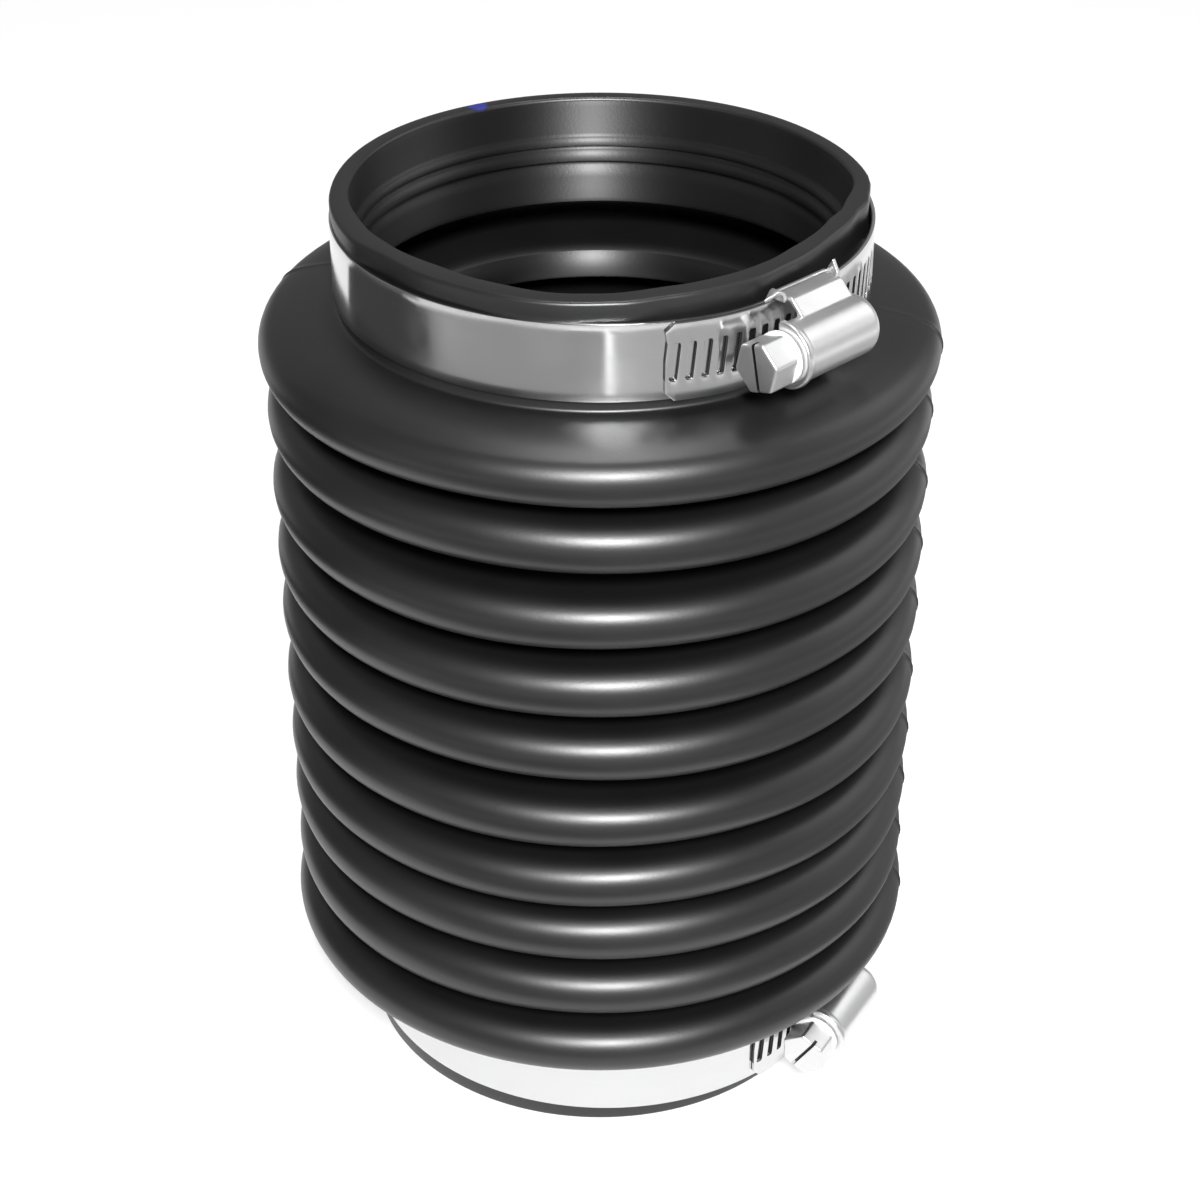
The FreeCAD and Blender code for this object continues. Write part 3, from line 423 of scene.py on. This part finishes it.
def strip_route(clamp):
    """The strip's inner face as runs: (centre x, centre out, radius, from, to) in degrees, or
    (None, out, 0, from, to) for a straight run across the clamp's front."""
    radius = clamp["radius"]
    flat = radius - FLAT_DROP
    raised = flat + LAP

    def blend(level):
        return (radius ** 2 - FLAT_HALF ** 2 - level ** 2) / (2 * (radius - level))

    start_hub = flat - blend(flat)
    start_turn = -math.degrees(math.atan2(FLAT_HALF, start_hub))
    rise_hub = raised - blend(raised)
    rise_turn = math.degrees(math.atan2(FLAT_HALF, rise_hub))
    tail_turn = start_turn - math.degrees(clamp["tail_run"] / (radius + LAP))
    return [
        (None, flat, 0, FLAT_START, -FLAT_HALF),
        (-FLAT_HALF, start_hub, blend(flat), 0, start_turn),
        (0, 0, radius, start_turn, rise_turn - 360),
        (FLAT_HALF, rise_hub, blend(raised), rise_turn, 0),
        (None, raised, 0, FLAT_HALF, -FLAT_HALF),
        (-FLAT_HALF, start_hub, blend(flat) + LAP, 0, start_turn),
        (0, 0, radius + LAP, start_turn, tail_turn),
    ]


def run_length(hub, radius, first, last):
    """How long one run of a route is, in millimetres."""
    return abs(last - first) if hub is None else math.radians(abs(last - first)) * radius


def route_place(route, length):
    """Where the strip's inner face is at a length from its start, across and out."""
    for hub, out, radius, first, last in route:
        whole = run_length(hub, radius, first, last)
        if length > whole and (hub, out, radius, first, last) != route[-1]:
            length -= whole
            continue
        part = length / whole
        along = first + (last - first) * part
        if hub is None:
            return along, out
        angle = math.radians(along)
        return hub + radius * math.sin(angle), out + radius * math.cos(angle)


def set_on_boot(clamp, across, out, up):
    """A point of a clamp's own frame, in millimetres, as a point of the boot's frame, in metres."""
    angle = math.radians(clamp["azimuth"])
    out += clamp["shift"]
    return Vector((across * math.cos(angle) + out * math.sin(angle),
                   across * math.sin(angle) - out * math.cos(angle),
                   clamp["level"] + up)) * MM


def apply_modifiers(piece):
    """Applies the modifiers of the active piece in their order."""
    for modifier in list(piece.modifiers):
        bpy.ops.object.modifier_apply(modifier=modifier.name)


def break_edges(piece, width, segments, limit):
    """Rounds the edges that turn by more than the limit, in degrees, once modifiers are applied."""
    rounding = piece.modifiers.new("BrokenEdges", "BEVEL")
    rounding.width = width
    rounding.segments = segments
    rounding.limit_method = "ANGLE"
    rounding.angle_limit = math.radians(limit)


def band_object(side):
    """One clamp's strip: slotted and cut while it lies flat, then laid along its route."""
    clamp = CLAMPS[side]
    route = strip_route(clamp)
    whole = sum(run_length(hub, radius, first, last) for hub, out, radius, first, last in route)
    slots = [whole - TAIL_TO_SLOT - number * SLOT_PITCH for number in range(SLOT_COUNT)]
    stations = [whole, whole - TAIL_EDGE]
    for slot in slots:
        stations += [slot + step for step in SLOT_STEPS]
    plain = stations[-1]
    stations += [plain * (PLAIN_STEPS - number) / PLAIN_STEPS for number in range(1, PLAIN_STEPS + 1)]
    stations.sort()
    columns, rows = len(stations) - 1, len(STRIP_ROWS) - 1
    bpy.ops.mesh.primitive_grid_add(x_subdivisions=columns, y_subdivisions=rows, size=2)
    band = bpy.context.object
    band.name = side.capitalize() + "Band"
    for vertex in band.data.vertices:
        column = round((vertex.co.x + 1) / 2 * columns)
        row = round((vertex.co.y + 1) / 2 * rows)
        vertex.co = (stations[column], STRIP_ROWS[row], 0)
    bpy.ops.object.mode_set(mode="EDIT")
    bpy.ops.mesh.select_mode(type="FACE")
    bpy.ops.mesh.select_all(action="DESELECT")
    bpy.ops.object.mode_set(mode="OBJECT")
    for face in band.data.polygons:
        along, up = face.center.x, face.center.y
        face.select = abs(up) < SLOT_REACH and any(abs(along - slot) < SLOT_HALF for slot in slots)
    bpy.ops.object.mode_set(mode="EDIT")
    bpy.ops.mesh.delete(type="FACE")
    for side_up in (-1, 1):
        bpy.ops.mesh.select_all(action="SELECT")
        bpy.ops.mesh.bisect(plane_co=(whole - CORNER_CUT, side_up * STRIP_HALF, 0),
                            plane_no=(1, side_up, 0), clear_outer=True)
    bpy.ops.object.mode_set(mode="OBJECT")
    # Painted shade: the middle of the band's start, which the slotted tail lies over, gets the near-black
    # steel.
    for face in band.data.polygons:
        if face.center.x < COVERED and abs(face.center.y) < SLOT_ROWS:
            face.material_index = 1
    for vertex in band.data.vertices:
        along, up = vertex.co.x, vertex.co.y
        slot = min(slots, key=lambda place: abs(place - along))
        if abs(abs(up) - SLOT_REACH) < CLOSE and abs(abs(along - slot) - SLOT_HALF) < CLOSE:
            along = slot + math.copysign(SLOT_CORNER[0], along - slot)
            up = math.copysign(SLOT_CORNER[1], up)
        if abs(up) < SLOT_ROWS and along > slots[-1] - SLOT_HALF - CLOSE:
            along -= up * SLOT_LEAN
        across, out = route_place(route, min(along, whole))
        vertex.co = set_on_boot(clamp, across, out, up)
    solid = band.modifiers.new("Thickness", "SOLIDIFY")
    solid.thickness = STRIP * MM
    solid.offset = 1
    break_edges(band, STRIP_EDGE * MM, 2, 50)
    apply_modifiers(band)
    bpy.ops.object.shade_smooth_by_angle(angle=math.radians(35))
    # Painted shade: faces turned in towards the boot and the walls of the slots get the near-black steel.
    hub = set_on_boot(clamp, 0, 0, 0)
    for face in band.data.polygons:
        away = (face.center - hub) * Vector((1, 1, 0))
        facing_out = face.normal.dot(away.normalized())
        in_slot = abs(face.center.z - hub.z) < SLOT_WALLS * MM
        if facing_out < INNER_FACING or (in_slot and facing_out < WALL_FACING):
            face.material_index = 1
    return band


def brushed_group():
    """Fine lines across the axis that is stretched most, and soft smudges, for bright steel."""
    group = bpy.data.node_groups.new("RolledLines", "ShaderNodeTree")
    group.interface.new_socket(name="Stretch", in_out="INPUT", socket_type="NodeSocketVector")
    group.interface.new_socket(name="Lines", in_out="OUTPUT", socket_type="NodeSocketFloat")
    group.interface.new_socket(name="Smudges", in_out="OUTPUT", socket_type="NodeSocketFloat")
    nodes, links = group.nodes, group.links
    inputs = nodes.new("NodeGroupInput")
    outputs = nodes.new("NodeGroupOutput")
    place = nodes.new("ShaderNodeTexCoord")
    stretch = nodes.new("ShaderNodeVectorMath")
    stretch.operation = "MULTIPLY"
    lines = nodes.new("ShaderNodeTexNoise")
    lines.inputs["Scale"].default_value = 1.0
    lines.inputs["Detail"].default_value = 3.0
    smudges = nodes.new("ShaderNodeTexNoise")
    smudges.inputs["Scale"].default_value = 140.0
    smudges.inputs["Detail"].default_value = 3.0
    links.new(place.outputs["Object"], stretch.inputs[0])
    links.new(inputs.outputs["Stretch"], stretch.inputs[1])
    links.new(stretch.outputs["Vector"], lines.inputs["Vector"])
    links.new(place.outputs["Object"], smudges.inputs["Vector"])
    links.new(lines.outputs["Fac"], outputs.inputs["Lines"])
    links.new(smudges.outputs["Fac"], outputs.inputs["Smudges"])
    return group


ROLLED = brushed_group()


def steel_material(name, colour, low, high, stretch, lines, radial=False):
    """Bright steel with a roughness from low to high and fine lines, or rings if it is radial."""
    material, shader = principled(name)
    tree = material.node_tree
    shader.inputs["Metallic"].default_value = 1.0
    if radial:
        turned_finish(material, 0.8)
    rolled = tree.nodes.new("ShaderNodeGroup")
    rolled.node_tree = ROLLED
    rolled.inputs["Stretch"].default_value = stretch
    tint = tree.nodes.new("ShaderNodeMix")
    tint.data_type = "RGBA"
    tint.inputs["A"].default_value = (colour * 0.94, colour * 0.94, colour * 0.95, 1)
    tint.inputs["B"].default_value = (colour, colour, colour, 1)
    tree.links.new(rolled.outputs["Lines"], tint.inputs["Factor"])
    tree.links.new(tint.outputs["Result"], shader.inputs["Base Color"])
    spread(material, rolled.outputs["Smudges"], low, high, shader.inputs["Roughness"])
    bump = tree.nodes.new("ShaderNodeBump")
    bump.inputs["Strength"].default_value = lines
    bump.inputs["Distance"].default_value = 0.00005
    tree.links.new(rolled.outputs["Lines"], bump.inputs["Height"])
    tree.links.new(bump.outputs["Normal"], shader.inputs["Normal"])
    return material


BAND_STEEL = steel_material("RolledStainless", 0.72, 0.12, 0.2, (40, 40, 4500), 0.08, radial=True)
# A near-black steel that is painted shade: it darkens the band's slot walls, its inner face, the start that
# lies under its tail, and the screw's driver slot.
SHADE_PAINTED_STEEL = steel_material("PaintedShadeSteel", 0.09, 0.4, 0.5, (900, 900, 900), 0.1)
for side in CLAMPS:
    band = band_object(side)
    band.data.materials.append(BAND_STEEL)
    band.data.materials.append(SHADE_PAINTED_STEEL)
    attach(band, "boot")
    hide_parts(side + "_band")

# Each housing is pressed from stainless sheet: a barrel over the screw, and walls that slope out
# over the band's edges and hook round its saddle. The press has left every edge soft.
HOUSING_SKIN = 0.16
HOUSING_STEEL = steel_material("PressedStainless", 0.8, 0.3, 0.38, (900, 900, 900), 0.05)


def alone(piece):
    """Makes a piece the only one selected, and active."""
    bpy.ops.object.select_all(action="DESELECT")
    piece.select_set(True)
    bpy.context.view_layer.objects.active = piece


for side in CLAMPS:
    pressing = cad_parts[side + "_housing"].data.copy()
    housing = bpy.data.objects.new(side.capitalize() + "Housing", pressing)
    bpy.context.collection.objects.link(housing)
    alone(housing)
    bpy.ops.object.mode_set(mode="EDIT")
    bpy.ops.mesh.select_all(action="SELECT")
    bpy.ops.mesh.remove_doubles(threshold=0.001 * MM)
    bpy.ops.object.mode_set(mode="OBJECT")
    skin = housing.modifiers.new("EvenSkin", "REMESH")
    skin.mode = "VOXEL"
    skin.voxel_size = HOUSING_SKIN * MM
    soft = housing.modifiers.new("PressedEdges", "SMOOTH")
    soft.factor = 0.5
    soft.iterations = 20
    apply_modifiers(housing)
    bpy.ops.object.shade_smooth()
    housing.data.materials.clear()
    housing.data.materials.append(HOUSING_STEEL)
    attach(housing, "boot")
    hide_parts(side + "_housing")

# The saddle is a flat plate under the band. A pointed tab at each end is folded up round the
# band's edge and the housing's end, and the one at the screw's head is curled over.
SCREW_OUT = 5.65
SADDLE_TOP = 5.68
SADDLE_SHEET = 0.6
SADDLE_HALF = 6.35
SADDLE_SIDE = 7.2
TAB_FOOT = 6.45
TAB_REACH = 2.5
TAB_TIP = 9.3
TAB_CUTS = 8
CURLED_TIP = 10.5
CURL = 0.55
CURL_TURN = 112
SADDLE_EDGE = 0.14


def set_by_screw(piece, side):
    """Moves a piece from the screw's frame (along it, into the boot, up) to its place on the boot."""
    clamp = CLAMPS[side]
    out = clamp["radius"] - FLAT_DROP + SCREW_OUT
    for vertex in piece.data.vertices:
        vertex.co = set_on_boot(clamp, vertex.co.x, out - vertex.co.y, vertex.co.z)


def saddle_tab(start, tip, curled):
    """A pointed leaf of sheet across the screw, with its foot on the plate's edge."""
    middle = SADDLE_TOP - TAB_REACH / 2
    corners = [(SADDLE_TOP + SADDLE_SHEET, TAB_FOOT), (SADDLE_TOP + SADDLE_SHEET, SADDLE_SIDE),
               (SADDLE_TOP, SADDLE_SIDE), (middle, tip), (SADDLE_TOP - TAB_REACH, SADDLE_SIDE),
               (SADDLE_TOP - TAB_REACH, TAB_FOOT)]
    bpy.ops.mesh.primitive_circle_add(vertices=len(corners), radius=1, fill_type="NGON")
    tab = bpy.context.object
    for vertex, (inward, up) in zip(tab.data.vertices, corners):
        vertex.co = (start, inward, up)
    bpy.ops.object.mode_set(mode="EDIT")
    bpy.ops.mesh.select_all(action="SELECT")
    bpy.ops.mesh.extrude_region_move(TRANSFORM_OT_translate={"value": (SADDLE_SHEET, 0, 0)})
    for number in range(1, TAB_CUTS + 1):
        cut = SADDLE_SIDE + number * (tip - SADDLE_SIDE) / (TAB_CUTS + 1)
        bpy.ops.mesh.select_all(action="SELECT")
        bpy.ops.mesh.bisect(plane_co=(0, 0, cut), plane_no=(0, 0, 1))
    bpy.ops.mesh.select_all(action="SELECT")
    bpy.ops.mesh.normals_make_consistent(inside=False)
    bpy.ops.object.mode_set(mode="OBJECT")
    if curled:
        for vertex in tab.data.vertices:
            rise = vertex.co.z - SADDLE_SIDE
            if rise > 0:
                turn = min(rise / CURL, math.radians(CURL_TURN))
                reach = CURL + vertex.co.x - start
                beyond = rise - turn * CURL
                vertex.co.x = start - CURL + reach * math.cos(turn) - beyond * math.sin(turn)
                vertex.co.z = SADDLE_SIDE + reach * math.sin(turn) + beyond * math.cos(turn)
    return tab


for side in CLAMPS:
    bpy.ops.mesh.primitive_cube_add(size=1, location=(0, SADDLE_TOP + SADDLE_SHEET / 2, 0))
    saddle = bpy.context.object
    saddle.name = side.capitalize() + "Saddle"
    saddle.scale = (2 * SADDLE_HALF, SADDLE_SHEET, 2 * SADDLE_SIDE)
    bpy.ops.object.transform_apply(location=True, scale=True)
    tabs = [saddle_tab(-SADDLE_HALF, CURLED_TIP, True),
            saddle_tab(SADDLE_HALF - SADDLE_SHEET, TAB_TIP, False)]
    alone(saddle)
    for tab in tabs:
        tab.select_set(True)
    bpy.ops.object.join()
    if side == "lower":
        bpy.ops.object.mode_set(mode="EDIT")
        bpy.ops.mesh.select_all(action="SELECT")
        bpy.ops.transform.mirror(constraint_axis=(False, False, True))
        bpy.ops.mesh.normals_make_consistent(inside=False)
        bpy.ops.object.mode_set(mode="OBJECT")
    set_by_screw(saddle, side)
    break_edges(saddle, SADDLE_EDGE * MM, 3, 40)
    apply_modifiers(saddle)
    bpy.ops.object.shade_smooth_by_angle(angle=math.radians(35))
    saddle.data.materials.append(HOUSING_STEEL)
    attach(saddle, "boot")
    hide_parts(side + "_saddle")

# Each screw is turned from bar and bright plated: a hex head with a driver slot, a collar that
# closes the housing's mouth, a neck, and the worm that climbs in the band's slots.
HEX_FLATS = 7.5
HEAD_FRONT = -15.75
COLLAR_FRONT = -10.85
COLLAR_BACK = -9.95
WORM_START = -8.2
WORM_END = 5.8
PILOT_END = 6.3
COLLAR_REACH = 4.15
NECK_REACH = 2.3
WORM_REACH = 2.8
PILOT_REACH = 1.8
THREAD_CREST = 3.9
THREAD_ROOT = 2.6
THREAD_FOOT = 0.75
THREAD_LAND = 0.35
HEX_EDGE = 0.42
SLOT_EDGE = 0.07
DRIVER_SLOT = (2.6, 0.5, 12.0)
SLOT_TURN = -25.0
SCREW_TURNS = {"upper": 13.0, "lower": 57.0}


def turned_length(first, last, reach, sides, edge):
    """A round or six-sided length of bar along the screw, with broken edges."""
    bpy.ops.mesh.primitive_cylinder_add(vertices=sides, radius=reach, depth=last - first,
                                        location=((first + last) / 2, 0, 0),
                                        rotation=(0, math.radians(90), 0))
    bar = bpy.context.object
    bpy.ops.object.transform_apply(location=True, rotation=True)
    break_edges(bar, edge, 3, 30)
    apply_modifiers(bar)
    return bar


def hex_head():
    """The head, with its corners up and down and the driver slot sawn across its face."""
    corner = HEX_FLATS / 2 / math.cos(math.radians(30))
    head = turned_length(HEAD_FRONT, COLLAR_FRONT, corner, 6, HEX_EDGE)
    head.rotation_euler = (math.radians(90), 0, 0)
    bpy.ops.object.transform_apply(rotation=True)
    bpy.ops.mesh.primitive_cube_add(size=1, location=(HEAD_FRONT, 0, 0),
                                    rotation=(math.radians(SLOT_TURN), 0, 0), scale=DRIVER_SLOT)
    saw = bpy.context.object
    # Painted shade: the saw's faces pass the near-black steel on to the walls and floor of the driver slot.
    for part in (head, saw):
        part.data.materials.append(SCREW_STEEL)
        part.data.materials.append(SHADE_PAINTED_STEEL)
    for face in saw.data.polygons:
        face.material_index = 1
    alone(head)
    cut = head.modifiers.new("DriverSlot", "BOOLEAN")
    cut.operation = "DIFFERENCE"
    cut.object = saw
    break_edges(head, SLOT_EDGE, 2, 60)
    apply_modifiers(head)
    bpy.data.objects.remove(saw)
    return head


def worm_thread():
    """One right-hand ridge wound round the worm."""
    bpy.ops.mesh.primitive_plane_add(size=1)
    thread = bpy.context.object
    profile = [(-THREAD_FOOT, THREAD_ROOT), (THREAD_FOOT, THREAD_ROOT),
               (-THREAD_LAND, THREAD_CREST), (THREAD_LAND, THREAD_CREST)]
    for vertex, (along, reach) in zip(thread.data.vertices, profile):
        vertex.co = (WORM_START + THREAD_FOOT + along, reach, 0)
    bpy.ops.object.mode_set(mode="EDIT")
    bpy.ops.mesh.select_all(action="SELECT")
    bpy.ops.mesh.delete(type="ONLY_FACE")
    bpy.ops.object.mode_set(mode="OBJECT")
    wind = thread.modifiers.new("Thread", "SCREW")
    wind.axis = "X"
    wind.screw_offset = SLOT_PITCH
    wind.iterations = 5
    wind.steps = 40
    wind.render_steps = 40
    apply_modifiers(thread)
    bpy.ops.object.mode_set(mode="EDIT")
    bpy.ops.mesh.select_all(action="SELECT")
    bpy.ops.mesh.fill_holes(sides=4)
    bpy.ops.mesh.select_all(action="SELECT")
    bpy.ops.mesh.normals_make_consistent(inside=False)
    bpy.ops.object.mode_set(mode="OBJECT")
    return thread


SCREW_STEEL = steel_material("PlatedSteel", 0.78, 0.3, 0.4, (1200, 1200, 1200), 0.06)
for side in CLAMPS:
    screw = hex_head()
    rest = [turned_length(COLLAR_FRONT, COLLAR_BACK, COLLAR_REACH, 64, 0.15),
            turned_length(COLLAR_BACK, WORM_START, NECK_REACH, 32, 0.05),
            turned_length(WORM_START, WORM_END, WORM_REACH, 32, 0.2),
            turned_length(WORM_END, PILOT_END, PILOT_REACH, 32, 0.1),
            worm_thread()]
    alone(screw)
    for length in rest:
        length.select_set(True)
    bpy.ops.object.join()
    screw.name = side.capitalize() + "Screw"
    screw.rotation_euler = (math.radians(SCREW_TURNS[side]), 0, 0)
    bpy.ops.object.transform_apply(rotation=True)
    set_by_screw(screw, side)
    bpy.ops.object.shade_smooth_by_angle(angle=math.radians(30))
    screw.modifiers.new("FlatFacets", "WEIGHTED_NORMAL").keep_sharp = True
    apply_modifiers(screw)
    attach(screw, side + "_worm")
    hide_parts(side + "_screw")

# The stage is a pale floor that turns white for the camera but keeps the boot's soft shadow, and
# a white surround. One soft lamp stands over the camera and one hangs high over the boot. Cards
# that only reflections see give the rubber and the steel their tones.
PAPER_SHADE = 0.4
PAPER_GLOW = 0.65
ROOM_GLOW = 0.35
TARGET = (0, 0, 0.0825)
UPRIGHT = math.radians(90)
SIDEWAYS = math.radians(90)
ON_FLOOR = 0.001


def bare_material(name):
    """A new material with nothing led to its output yet, and its nodes."""
    material = bpy.data.materials.new(name)
    material.use_nodes = True
    material.node_tree.nodes.remove(material.node_tree.nodes["Principled BSDF"])
    return material, material.node_tree


def seen_mask(tree):
    """1 for rays from the camera, from a gloss or through glass, and 0 for diffuse light."""
    path = tree.nodes.new("ShaderNodeLightPath")
    first = tree.nodes.new("ShaderNodeMath")
    first.operation = "MAXIMUM"
    tree.links.new(path.outputs["Is Camera Ray"], first.inputs[0])
    tree.links.new(path.outputs["Is Glossy Ray"], first.inputs[1])
    both = tree.nodes.new("ShaderNodeMath")
    both.operation = "MAXIMUM"
    tree.links.new(first.outputs[0], both.inputs[0])
    tree.links.new(path.outputs["Is Transmission Ray"], both.inputs[1])
    return both.outputs[0]


bpy.ops.mesh.primitive_plane_add(size=6, location=(0, 0, 0))
floor = bpy.context.object
floor.name = "Floor"
paper, tree = bare_material("WhitePaper")
matt = tree.nodes.new("ShaderNodeBsdfDiffuse")
matt.inputs["Color"].default_value = (PAPER_SHADE, PAPER_SHADE, PAPER_SHADE, 1)
glow = tree.nodes.new("ShaderNodeEmission")
lift = tree.nodes.new("ShaderNodeMath")
lift.operation = "MULTIPLY"
lift.inputs[1].default_value = PAPER_GLOW
tree.links.new(seen_mask(tree), lift.inputs[0])
tree.links.new(lift.outputs[0], glow.inputs["Strength"])
both = tree.nodes.new("ShaderNodeAddShader")
tree.links.new(matt.outputs[0], both.inputs[0])
tree.links.new(glow.outputs[0], both.inputs[1])
tree.links.new(both.outputs[0], tree.nodes["Material Output"].inputs["Surface"])
floor.data.materials.append(paper)

world = bpy.data.worlds.new("WhiteRoom")
bpy.context.scene.world = world
world.use_nodes = True
tree = world.node_tree
level = tree.nodes.new("ShaderNodeMapRange")
level.inputs["To Min"].default_value = ROOM_GLOW
level.inputs["To Max"].default_value = 1.0
tree.links.new(seen_mask(tree), level.inputs["Value"])
background = tree.nodes["Background"]
background.inputs["Color"].default_value = (1, 1, 1, 1)
tree.links.new(level.outputs["Result"], background.inputs["Strength"])


def soft_lamp(name, place, aim, width, depth, power):
    """A lamp with a broad face, turned to what it is aimed at."""
    bpy.ops.object.light_add(type="AREA", location=place)
    lamp = bpy.context.object
    lamp.name = name
    lamp.data.shape = "RECTANGLE"
    lamp.data.size = width
    lamp.data.size_y = depth
    lamp.data.energy = power
    lamp.rotation_euler = (Vector(aim) - Vector(place)).to_track_quat("-Z", "Y").to_euler()


soft_lamp("LampOverCamera", (0.055, -0.76, 0.72), TARGET, 0.13, 0.2, 18)
soft_lamp("LampOverhead", (0.03, 0.2, 1.0), TARGET, 0.12, 0.2, 2.2)


def reflect_card(name, place, turn, width, height, shade):
    """A card that only reflections see, as a photographer sets one to give metal its tones."""
    bpy.ops.mesh.primitive_plane_add(size=1, location=place, rotation=turn)
    card = bpy.context.object
    card.name = name
    card.scale = (width, height, 1)
    bpy.ops.object.transform_apply(location=False, rotation=False, scale=True)
    material, tree = bare_material(name + "Cloth")
    cloth = tree.nodes.new("ShaderNodeEmission")
    cloth.inputs["Color"].default_value = (shade, shade, shade, 1)
    tree.links.new(cloth.outputs[0], tree.nodes["Material Output"].inputs["Surface"])
    card.data.materials.append(material)
    card.visible_camera = False
    card.visible_diffuse = False
    card.visible_shadow = False


reflect_card("CardFront", (0, -1.7, 1.1), (UPRIGHT, 0, 0), 4.4, 1.9, 0.05)
reflect_card("CardBack", (0, 1.7, 1.0), (UPRIGHT, 0, 0), 4.4, 2.0, 0.27)
reflect_card("CardFarLeft", (-1.9, 0, 1.0), (UPRIGHT, 0, SIDEWAYS), 3.4, 2.0, 0.4)
reflect_card("CardFarRight", (1.9, 0, 1.0), (UPRIGHT, 0, SIDEWAYS), 3.4, 2.0, 0.35)
reflect_card("CardHighRight", (0.75, 0.27, 0.76), (math.radians(52), 0, math.radians(110)),
             0.65, 0.6, 1.5)
reflect_card("CardMiddleRight", (0.86, 0.16, 0.41), (UPRIGHT, 0, math.radians(100)), 0.9, 0.22, 1.1)
reflect_card("CardLowRight", (0.86, 0.16, 0.15), (UPRIGHT, 0, math.radians(100)), 0.9, 0.3, 0.6)
reflect_card("CardAbove", (0, 0, 2.0), (0, 0, 0), 3.8, 3.4, 0.12)
reflect_card("CardLeft", (-0.62, 0.1, 0.3), (UPRIGHT, 0, math.radians(80)), 0.55, 0.7, 0.15)
reflect_card("CardFrontFloor", (-0.235, -0.39, ON_FLOOR), (0, 0, 0), 0.53, 0.56, 0.37)
reflect_card("CardRightFloor", (0.265, -0.39, ON_FLOOR), (0, 0, 0), 0.47, 0.56, 0.52)
reflect_card("CardLeftFloor", (-0.44, 0.075, ON_FLOOR), (0, 0, math.radians(-13)), 0.5, 0.34, 0.06)
reflect_card("CardRearFloor", (0.22, 0.07, ON_FLOOR), (0, 0, 0), 0.3, 0.34, 0.5)
reflect_card("StripFloor", (0.018, -0.42, 0.0015), (0, 0, 0), 0.018, 0.5, 1.6)

bpy.ops.object.camera_add(location=(0, -0.3740, 0.3151))
camera = bpy.context.object
camera.rotation_euler = (Vector(TARGET) - camera.location).to_track_quat("-Z", "Y").to_euler()
camera.data.lens = 75.09
camera.data.sensor_width = 36
bpy.context.scene.camera = camera
bpy.context.scene.view_settings.view_transform = "Standard"
